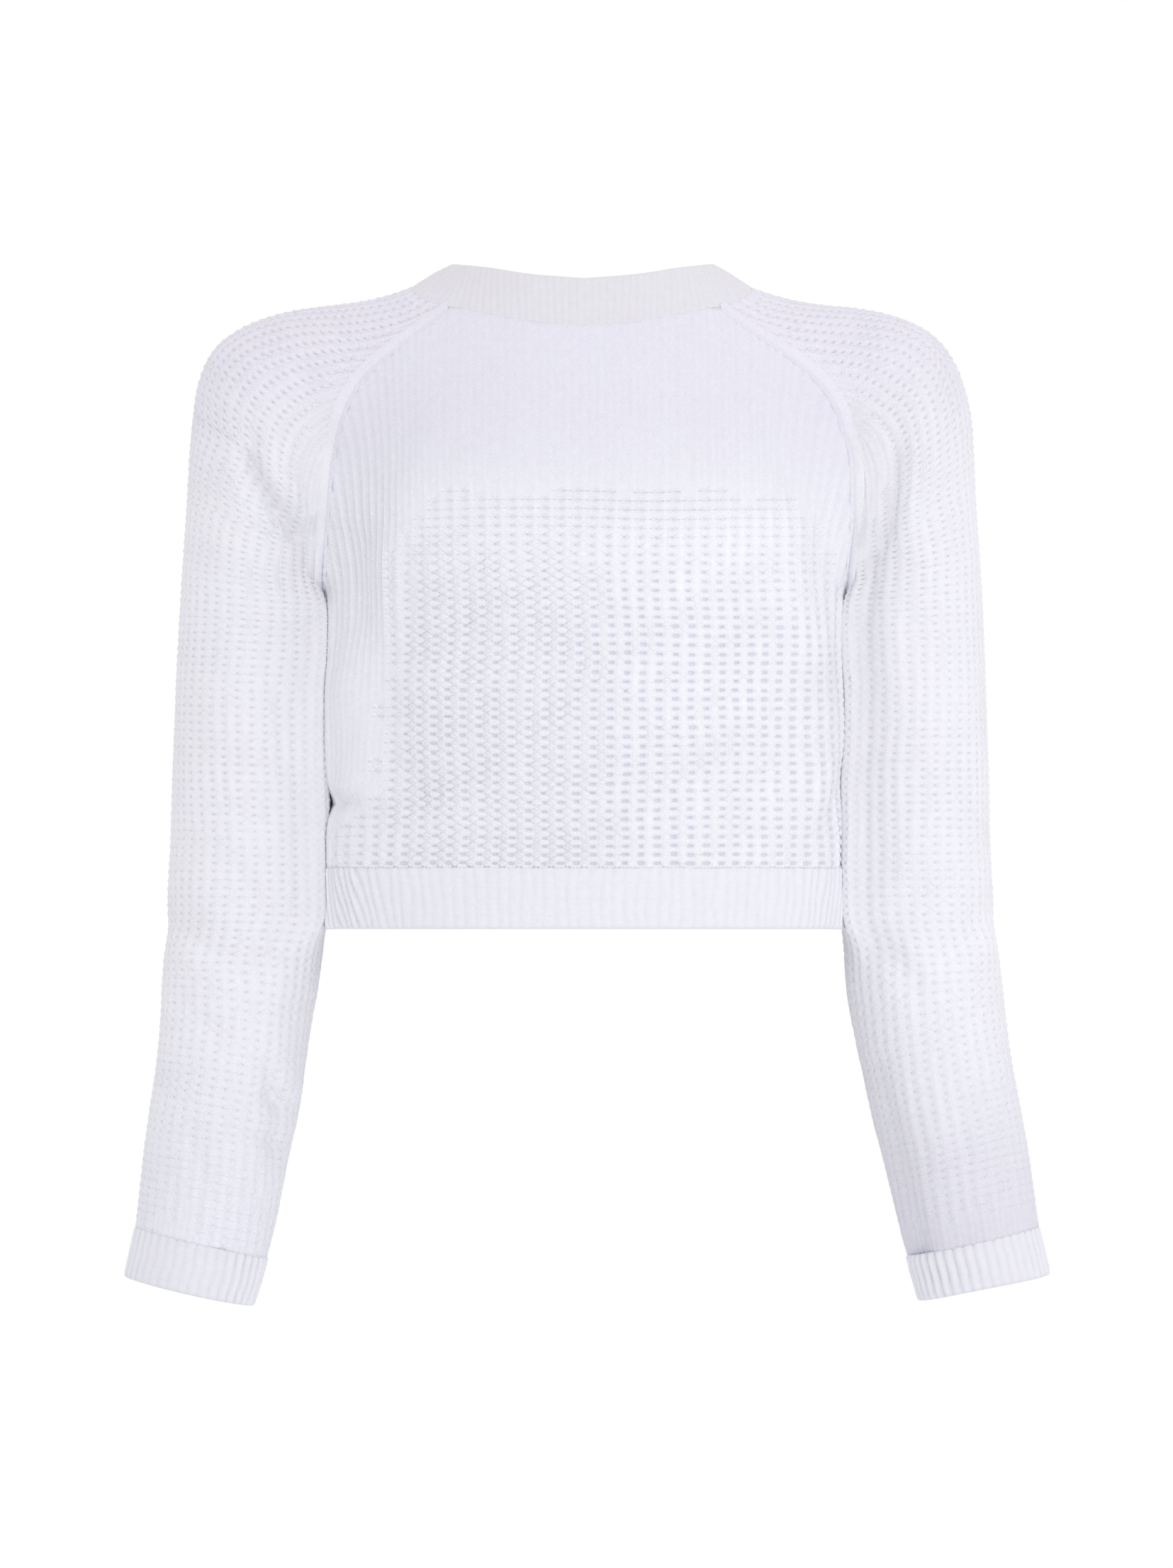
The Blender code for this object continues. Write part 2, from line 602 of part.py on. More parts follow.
def build_hem(name, front, colour, collection):
    sign = 1 if front else -1
    rows, ways = [], []
    for z in np.linspace(HEM_Z, HEM_Z + HEM_RIB_HEIGHT, RIB_ROWS + 1):
        points = torso_row(z, sign, 90.0, 90.0, proud=RIB_PROUD)
        n = normals(points, "torso") * [1, 1, 0]
        rows.append(points)
        ways.append(unit(n))
    grid = drawn_in(np.array(rows), np.array(ways), 0, (1, -1))
    add_wall(name, grid, grid - np.array(ways) * RIB_WALL, colour, collection)


def build_cuff(name, side, colour, collection):
    rows, inner = [], []
    bottom, top = cuff_top_along(side)
    for along in np.linspace(bottom, top, RIB_ROWS + 1):
        rows.append(arm_ring(side, along, SLEEVE_COLUMNS, RIB_PROUD)[:-1])
        inner.append(arm_ring(side, along, SLEEVE_COLUMNS, RIB_PROUD - RIB_WALL)[:-1])
    add_wall(name, np.array(rows), np.array(inner), colour, collection, closed=True)


def build_neckband(name, colour, collection):
    """A ring whose lower edge has the same points as the edges of the panels and sleeves."""
    edges = []
    for piece in ("front", "right", "back", "left"):
        if piece == "front":
            edge = body_grid(True)[0][-1]
        elif piece == "back":
            edge = body_grid(False)[0][-1][::-1]
        elif piece == "right":
            edge = sleeve_grid(1)[0][-1]
        else:
            edge = sleeve_grid(-1)[0][-1][::-1]
        edges.append(edge[:-1])
    seam = np.concatenate(edges)
    angle = np.degrees(np.arctan2(seam[:, 0], -seam[:, 1]))
    half = np.abs(angle)
    top = np.stack(
        [read(NECK, "angle", c, half) for c in ("top_x", "top_y", "top_z")], axis=1
    )
    top[:, 0] *= np.sign(angle)
    way = normals(seam)
    rise = unit(top - seam)
    ring = np.roll(seam, -1, axis=0) - np.roll(seam, 1, axis=0)
    flat = unit(np.cross(ring, rise))
    flat *= np.sign((flat * way).sum(axis=1, keepdims=True))
    outer, inner = [], []
    for t in (0.0, 0.45, 1.0):
        bow = 0.0016 * math.sin(math.pi * t)
        lift = (SEAM_GAP / 2) * (1 - t)
        point = seam * (1 - t) + top * t + flat * bow + rise * lift
        n = unit(way * (1 - t) + flat * t) if t else way
        outer.append(point)
        inner.append(point - n * NECK_WALL)
    add_wall(name, np.array(outer), np.array(inner), colour, collection, closed=True)


def main():
    for thing in list(bpy.data.objects):
        bpy.data.objects.remove(thing, do_unlink=True)
    collection = bpy.data.collections.new("cropped_knit_sweater")
    bpy.context.scene.collection.children.link(collection)
    white = (0.86, 0.86, 0.91)
    ivory = (0.87, 0.86, 0.88)
    build_panel("front_panel", True, white, collection)
    build_panel("back_panel", False, white, collection)
    build_sleeve("sleeve_left", -1, (0.83, 0.83, 0.89), collection)
    build_sleeve("sleeve_right", 1, (0.83, 0.83, 0.89), collection)
    build_neckband("neckband", ivory, collection)
    build_hem("hem_rib_front", True, white, collection)
    build_hem("hem_rib_back", False, white, collection)
    build_cuff("cuff_left", -1, white, collection)
    build_cuff("cuff_right", 1, white, collection)


main()
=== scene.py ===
"""Looks of the cropped raglan sweater: openwork rib knit made stitch by stitch on the garment's form.

Every piece is a thin closed shell of knit. A smooth base surface is computed for it first, from the
same sections, arm paths and seams as the solids. Stitch cells are then laid over that surface in
the cloth's own coordinates: u counts rib columns and v counts knitted rows. Metres, +Z up, the
front faces -Y.
"""

import math

import bpy
import numpy as np
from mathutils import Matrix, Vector
from mathutils.geometry import delaunay_2d_cdt


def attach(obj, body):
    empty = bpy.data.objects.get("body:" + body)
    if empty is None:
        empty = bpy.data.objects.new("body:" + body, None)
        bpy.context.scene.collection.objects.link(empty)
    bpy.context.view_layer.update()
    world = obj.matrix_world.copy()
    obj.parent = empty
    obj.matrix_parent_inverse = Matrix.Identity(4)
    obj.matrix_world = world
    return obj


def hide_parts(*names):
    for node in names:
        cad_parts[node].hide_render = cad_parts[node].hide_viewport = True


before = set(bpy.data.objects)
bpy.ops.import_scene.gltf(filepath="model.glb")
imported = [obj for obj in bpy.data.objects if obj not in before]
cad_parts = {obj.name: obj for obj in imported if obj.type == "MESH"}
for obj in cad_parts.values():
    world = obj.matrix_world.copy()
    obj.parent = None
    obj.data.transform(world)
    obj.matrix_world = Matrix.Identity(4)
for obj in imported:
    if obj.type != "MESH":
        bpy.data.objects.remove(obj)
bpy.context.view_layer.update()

# ---------------------------------------------------------------- the form's sizes (metres)
HEM_Z = -0.348
HEM_RIB_HEIGHT = 0.034
UNDERARM_Z = -0.168
UNDERARM_X = 0.1478
CUFF_LENGTH = 0.027
GAP = 0.0003  # between neighbouring pieces

# ---------------------------------------------------------------- tables
# Torso sections: half width, depth to the front and to the back, exponent of the rounded outline.
TORSO = {
    "columns": ("z", "half_width", "front", "back", "squareness"),
    "rows": (
        (-0.3600, 0.1452, 0.1030, 0.0935, 2.30),
        (-0.3480, 0.1453, 0.1032, 0.0935, 2.30),
        (-0.3140, 0.1462, 0.1065, 0.0950, 2.32),
        (-0.2700, 0.1468, 0.1125, 0.0970, 2.32),
        (-0.2200, 0.1472, 0.1195, 0.1010, 2.32),
        (-0.1750, 0.1468, 0.1205, 0.1050, 2.32),
        (-0.1400, 0.1450, 0.1160, 0.1070, 2.30),
        (-0.1050, 0.1410, 0.1075, 0.1070, 2.25),
        (-0.0700, 0.1350, 0.0975, 0.1040, 2.20),
        (-0.0400, 0.1250, 0.0860, 0.0965, 2.15),
        (-0.0100, 0.1080, 0.0730, 0.0820, 2.10),
        (0.0150, 0.0860, 0.0630, 0.0660, 2.05),
        (0.0400, 0.0700, 0.0540, 0.0560, 2.00),
    ),
}
# Arm path from below the cuff, up the arm, over the shoulder and in to the neck. Left and right
# are as seen from the front, left at -X.
ARM = {
    "columns": ("z", "x_left", "x_right", "width_left", "width_right", "half_depth", "y"),
    "rows": (
        (-0.5850, 0.2300, 0.2330, 0.0355, 0.0360, 0.0365, -0.020),
        (-0.5510, 0.2234, 0.2264, 0.0363, 0.0368, 0.0385, -0.017),
        (-0.5250, 0.2173, 0.2208, 0.0391, 0.0390, 0.0405, -0.014),
        (-0.4640, 0.2055, 0.2072, 0.0409, 0.0409, 0.0440, -0.008),
        (-0.4240, 0.1985, 0.1985, 0.0422, 0.0422, 0.0465, -0.003),
        (-0.3840, 0.1935, 0.1917, 0.0446, 0.0444, 0.0485, 0.001),
        (-0.3520, 0.1920, 0.1898, 0.0445, 0.0430, 0.0500, 0.003),
        (-0.3040, 0.1912, 0.1887, 0.0422, 0.0405, 0.0515, 0.004),
        (-0.2560, 0.1904, 0.1885, 0.0416, 0.0396, 0.0525, 0.005),
        (-0.2080, 0.1893, 0.1880, 0.0407, 0.0384, 0.0535, 0.005),
        (-0.1600, 0.1880, 0.1872, 0.0398, 0.0378, 0.0545, 0.005),
        (-0.1120, 0.1840, 0.1825, 0.0400, 0.0385, 0.0545, 0.005),
        (-0.0800, 0.1790, 0.1765, 0.0440, 0.0430, 0.0540, 0.005),
        (-0.0590, 0.1770, 0.1762, 0.0460, 0.0462, 0.0530, 0.005),
        (-0.0455, 0.1690, 0.1688, 0.0466, 0.0468, 0.0505, 0.005),
        (-0.0430, 0.1480, 0.1480, 0.0468, 0.0468, 0.0485, 0.004),
        (-0.0370, 0.1220, 0.1220, 0.0440, 0.0440, 0.0465, 0.003),
        (-0.0270, 0.0960, 0.0960, 0.0390, 0.0390, 0.0450, 0.001),
        (-0.0200, 0.0760, 0.0760, 0.0340, 0.0340, 0.0440, 0.000),
        (-0.0170, 0.0400, 0.0400, 0.0330, 0.0330, 0.0430, 0.000),
        (-0.0170, 0.0000, 0.0000, 0.0320, 0.0320, 0.0420, 0.000),
    ),
}
# Raglan seams from the underarm to the neck, as directions from the middle of the torso.
RAGLAN = {
    "columns": ("z", "x_left", "x_right", "front_y", "back_x", "back_y", "back_z"),
    "rows": (
        (-0.1680, 0.1478, 0.1478, 0.000, 0.1478, 0.000, -0.1680),
        (-0.1540, 0.1475, 0.1482, -0.022, 0.1480, 0.020, -0.1520),
        (-0.1360, 0.1465, 0.1500, -0.041, 0.1480, 0.038, -0.1330),
        (-0.1140, 0.1450, 0.1520, -0.057, 0.1470, 0.055, -0.1110),
        (-0.0900, 0.1430, 0.1520, -0.070, 0.1450, 0.070, -0.0870),
        (-0.0660, 0.1390, 0.1470, -0.080, 0.1400, 0.082, -0.0620),
        (-0.0460, 0.1310, 0.1380, -0.085, 0.1310, 0.088, -0.0400),
        (-0.0310, 0.1190, 0.1240, -0.083, 0.1190, 0.086, -0.0210),
        (-0.0180, 0.1040, 0.1070, -0.074, 0.1060, 0.076, -0.0050),
        (-0.0060, 0.0880, 0.0900, -0.060, 0.0940, 0.060, 0.0080),
        (0.0045, 0.0740, 0.0760, -0.044, 0.0820, 0.042, 0.0165),
    ),
}
# The line on the top of the shoulder, from the outside of the arm at the underarm to the neck.
SHOULDER_LINE = {
    "columns": ("step", "x", "y", "z"),
    "rows": (
        (0.00, 0.2270, 0.004, -0.1680),
        (0.12, 0.2250, 0.004, -0.1300),
        (0.26, 0.2225, 0.004, -0.0840),
        (0.38, 0.2170, 0.004, -0.0400),
        (0.50, 0.1990, 0.004, -0.0120),
        (0.64, 0.1650, 0.003, 0.0010),
        (0.78, 0.1320, 0.000, 0.0060),
        (0.90, 0.1100, -0.003, 0.0120),
        (1.00, 0.0950, -0.005, 0.0165),
    ),
}
# Neckband: its seam to the panels and its top edge, round from the front centre to the back.
NECK = {
    "columns": ("angle", "seam_z", "top_x", "top_y", "top_z"),
    "rows": (
        (0.0, -0.0076, 0.0000, -0.0600, 0.0188),
        (23.0, -0.0050, 0.0300, -0.0565, 0.0212),
        (43.0, 0.0000, 0.0540, -0.0440, 0.0250),
        (60.0, 0.0045, 0.0665, -0.0290, 0.0265),
        (93.0, 0.0165, 0.0740, -0.0030, 0.0275),
        (117.0, 0.0165, 0.0670, 0.0230, 0.0285),
        (140.0, 0.0110, 0.0470, 0.0430, 0.0280),
        (160.0, 0.0070, 0.0250, 0.0520, 0.0265),
        (180.0, 0.0050, 0.0000, 0.0550, 0.0260),
    ),
}
# The largest folds, as soft troughs (positive depth) and ridges (negative) along a line.
FOLDS = {
    "columns": ("x0", "y0", "z0", "x1", "y1", "z1", "depth", "width"),
    "rows": (
        (-0.186, -0.050, -0.078, -0.160, -0.046, -0.126, 0.0050, 0.013),
        (-0.170, -0.054, -0.070, -0.152, -0.054, -0.112, -0.0025, 0.012),
        (0.176, -0.052, -0.072, 0.170, -0.050, -0.128, 0.0050, 0.012),
        (0.168, -0.050, -0.128, 0.154, -0.036, -0.196, 0.0035, 0.013),
        (-0.130, -0.070, -0.140, -0.118, -0.085, -0.215, 0.0050, 0.016),
        (-0.152, 0.000, -0.276, -0.126, -0.055, -0.279, 0.0045, 0.010),
        (0.146, -0.020, -0.262, 0.124, -0.060, -0.300, 0.0025, 0.012),
        (-0.182, 0.060, -0.085, -0.156, 0.050, -0.132, 0.0040, 0.014),
        (0.182, 0.060, -0.085, 0.156, 0.050, -0.132, 0.0040, 0.014),
        (-0.060, 0.108, -0.215, 0.070, 0.106, -0.238, 0.0045, 0.020),
        (-0.080, 0.100, -0.275, 0.050, 0.100, -0.258, 0.0030, 0.016),
        (-0.232, 0.010, -0.350, -0.190, -0.040, -0.372, 0.0025, 0.012),
        (0.232, 0.010, -0.352, 0.190, 0.046, -0.374, 0.0025, 0.012),
    ),
}



# ---------------------------------------------------------------- the form
def column(table, name):
    at = table["columns"].index(name)
    return np.array([row[at] for row in table["rows"]], float)


def smooth(xs, ys, at):
    """A smooth curve through (xs, ys) with no overshoot, read at the numbers in at."""
    xs, ys, at = np.asarray(xs), np.asarray(ys), np.asarray(at, float)
    rise = np.diff(ys) / np.diff(xs)
    slope = np.zeros(len(xs))
    slope[0], slope[-1] = rise[0], rise[-1]
    same = rise[:-1] * rise[1:] > 0
    slope[1:-1][same] = 2 * rise[:-1][same] * rise[1:][same] / (rise[:-1] + rise[1:])[same]
    i = np.clip(np.searchsorted(xs, at, side="right") - 1, 0, len(xs) - 2)
    h = xs[i + 1] - xs[i]
    t = np.clip((at - xs[i]) / h, 0, 1)
    return (
        ys[i] * (1 + 2 * t) * (1 - t) ** 2
        + slope[i] * h * t * (1 - t) ** 2
        + ys[i + 1] * t * t * (3 - 2 * t)
        + slope[i + 1] * h * t * t * (t - 1)
    )


def catmull(xs, ys, at):
    """A rounder curve than smooth(), for paths that turn a corner."""
    slope = np.gradient(ys, xs)
    i = np.clip(np.searchsorted(xs, at, side="right") - 1, 0, len(xs) - 2)
    h = xs[i + 1] - xs[i]
    t = np.clip((at - xs[i]) / h, 0, 1)
    return (
        ys[i] * (1 + 2 * t) * (1 - t) ** 2
        + slope[i] * h * t * (1 - t) ** 2
        + ys[i + 1] * t * t * (3 - 2 * t)
        + slope[i + 1] * h * t * t * (t - 1)
    )


def read(table, key, name, at):
    return smooth(column(table, key), column(table, name), at)


def step(low, high, value):
    t = np.clip((value - low) / (high - low), 0, 1)
    return t * t * (3 - 2 * t)


def unit(v):
    return v / np.maximum(np.linalg.norm(v, axis=-1, keepdims=True), 1e-12)


def arm_path(side, samples=110):
    """Points along one arm's middle in X and Z, with the half width, half depth and y there."""
    where = "left" if side < 0 else "right"
    x, z = column(ARM, f"x_{where}"), column(ARM, "z")
    along = np.concatenate([[0], np.cumsum(np.hypot(np.diff(x), np.diff(z)))])
    at = np.linspace(0, along[-1], samples)
    values = [x, z, column(ARM, f"width_{where}"), column(ARM, "half_depth"), column(ARM, "y")]
    path = np.stack([catmull(along, v, at) for v in values], axis=1)
    return at, path, np.gradient(path, at, axis=0)


PATHS = {side: arm_path(side) for side in (-1, 1)}


def torso_gap(p):
    """How far outside the torso's form each point is, negative inside."""
    z = p[:, 2]
    half_width = read(TORSO, "z", "half_width", z)
    depth = np.where(p[:, 1] < 0, read(TORSO, "z", "front", z), read(TORSO, "z", "back", z))
    n = read(TORSO, "z", "squareness", z)
    q = ((np.abs(p[:, 0]) / half_width) ** n + (np.abs(p[:, 1]) / depth) ** n) ** (1 / n)
    return np.hypot(p[:, 0], p[:, 1]) * (1 - 1 / np.maximum(q, 1e-6))


def arm_gap(p, side):
    """The same for the tube along one arm."""
    at, path, tangent = PATHS[side]
    x, z = p[:, 0] * side, p[:, 2]
    near = ((x[:, None] - path[:, 0]) ** 2 + (z[:, None] - path[:, 1]) ** 2).argmin(axis=1)
    along = at[near]
    for _ in range(2):
        here = np.stack([np.interp(along, at, path[:, i]) for i in range(2)], axis=1)
        run = np.stack([np.interp(along, at, tangent[:, i]) for i in range(2)], axis=1)
        ahead = (x - here[:, 0]) * run[:, 0] + (z - here[:, 1]) * run[:, 1]
        along = np.clip(along + ahead / (run**2).sum(axis=1), at[near] - 0.01, at[near] + 0.01)
    here = np.stack([np.interp(along, at, path[:, i]) for i in range(5)], axis=1)
    d = np.hypot(x - here[:, 0], z - here[:, 1])
    y = p[:, 1] - here[:, 4]
    q = ((d / here[:, 2]) ** 2.1 + (np.abs(y) / here[:, 3]) ** 2.1) ** (1 / 2.1)
    return np.hypot(d, y) * (1 - 1 / np.maximum(q, 1e-6))


def fold_depth(p):
    """How far the largest folds push the cloth in at each point."""
    total = np.zeros(len(p))
    for x0, y0, z0, x1, y1, z1, depth, width in FOLDS["rows"]:
        a, b = np.array([x0, y0, z0]), np.array([x1, y1, z1])
        t = np.clip((p - a) @ (b - a) / ((b - a) @ (b - a)), 0, 1)
        d = np.linalg.norm(p - a - t[:, None] * (b - a), axis=1)
        total += depth * np.exp(-((d / width) ** 2))
    return total


def form_gap(p, parts="both"):
    """The garment's outer form: torso, arm or the two blended above the underarm."""
    if parts == "torso":
        return torso_gap(p) + fold_depth(p)
    arm = np.empty(len(p))
    for side in (-1, 1):
        mine = (p[:, 0] < 0) if side < 0 else (p[:, 0] >= 0)
        if mine.any():
            arm[mine] = arm_gap(p[mine], side)
    if parts == "arm":
        return arm + fold_depth(p)
    torso = torso_gap(p)
    k = 0.008 + 0.024 * step(UNDERARM_Z, -0.095, p[:, 2])
    h = np.clip(0.5 + 0.5 * (arm - torso) / k, 0, 1)
    return arm * (1 - h) + torso * h - k * h * (1 - h) + fold_depth(p)


def cast(origin, direction, parts="both", steps=42):
    """From points inside, along directions, to the form's surface."""
    direction = unit(direction)
    far = np.full(len(origin), 0.005)
    for _ in range(steps):
        far = np.maximum(far - 0.8 * form_gap(origin + direction * far[:, None], parts), 0)
    return origin + direction * far[:, None]


def cast_by(origin, direction, parts, bridge):
    """cast() on the blended form, standing at most bridge outside one part alone. Low on the
    raglan seams arm and body lie side by side, and the cloth doesn't bridge between them."""
    out = cast(origin, direction)
    held = bridge < 0.06
    if held.any():
        near = cast(origin[held], direction[held], parts)
        more = np.linalg.norm(out[held] - origin[held], axis=1)
        more = more - np.linalg.norm(near - origin[held], axis=1)
        most = np.maximum(bridge[held], 1e-5)
        more = most * np.tanh(np.maximum(more, 0) / most)
        out[held] = near + unit(near - origin[held]) * more[:, None]
    return out


BRIDGE = ((0, 1, 2, 3, 4, 5), (0.0, 0.003, 0.008, 0.016, 0.030, 0.070))  # by raglan row


def runs(points):
    """Lengths along polylines, from their first point. Points are (..., n, 3)."""
    steps = np.linalg.norm(np.diff(points, axis=-2), axis=-1)
    return np.concatenate([np.zeros(steps.shape[:-1] + (1,)), np.cumsum(steps, axis=-1)], axis=-1)


def neck_seam(angles):
    """The seam between the neckband and the panels. 0 is the front centre, 90 the right side."""
    turn = np.radians(angles)
    z = read(NECK, "angle", "seam_z", np.abs((np.asarray(angles) + 180) % 360 - 180))
    direction = np.stack([np.sin(turn), -np.cos(turn), np.zeros_like(turn)], axis=1)
    origin = np.stack([np.zeros_like(z), np.zeros_like(z), z], axis=1)
    return cast(origin, direction, steps=60)


RAGLAN_STEPS = np.linspace(0, 10, 81)


def raglan(side, front):
    """The raglan seam from the underarm to the neck, finely, with each point's angle."""
    where = "left" if side < 0 else "right"
    names = (f"x_{where}", "front_y", "z") if front else ("back_x", "back_y", "back_z")
    rows = np.arange(11)
    x, y, z = (smooth(rows, column(RAGLAN, n), RAGLAN_STEPS) for n in names)
    points = np.stack([x * side, y, z], axis=1)
    origin = np.stack([0 * x, 0 * x, z], axis=1)
    least, most = np.zeros(len(x)), np.full(len(x), math.pi / 2)
    for _ in range(18):
        turn = (least + most) / 2
        ahead = -1 if front else 1
        way = np.stack([side * np.sin(turn), ahead * np.cos(turn), 0 * turn], axis=1)
        wide = np.abs(cast(origin, way)[:, 0]) > x
        least, most = np.where(wide, least, turn), np.where(wide, turn, most)
    turn = (least + most) / 2
    way = np.stack([side * np.sin(turn), ahead * np.cos(turn), 0 * turn], axis=1)
    hit = cast(origin, way)
    # Where a ray grazes the sleeve its end jumps, so the line is drawn through its neighbours.
    for k in (0, 1):
        wide = np.concatenate([hit[:3, k], hit[:, k], hit[-3:, k]])
        even = np.median([wide[j : j + len(hit)] for j in range(7)], axis=0)
        for _ in range(3):
            even[1:-1] = 0.25 * (even[:-2] + 2 * even[1:-1] + even[2:])
        hit[:, k] = even
    low = 1 - step(UNDERARM_Z, -0.125, z)[:, None]
    hit = hit * (1 - low) + points * low
    angle = np.degrees(np.arctan2(np.abs(hit[:, 0]), -hit[:, 1]))
    hit[0] = (UNDERARM_X * side, 0, UNDERARM_Z)
    hit[-1] = neck_seam([angle[-1] * side])[0]
    return hit, angle


SEAMS = {(side, front): raglan(side, front) for side in (-1, 1) for front in (True, False)}


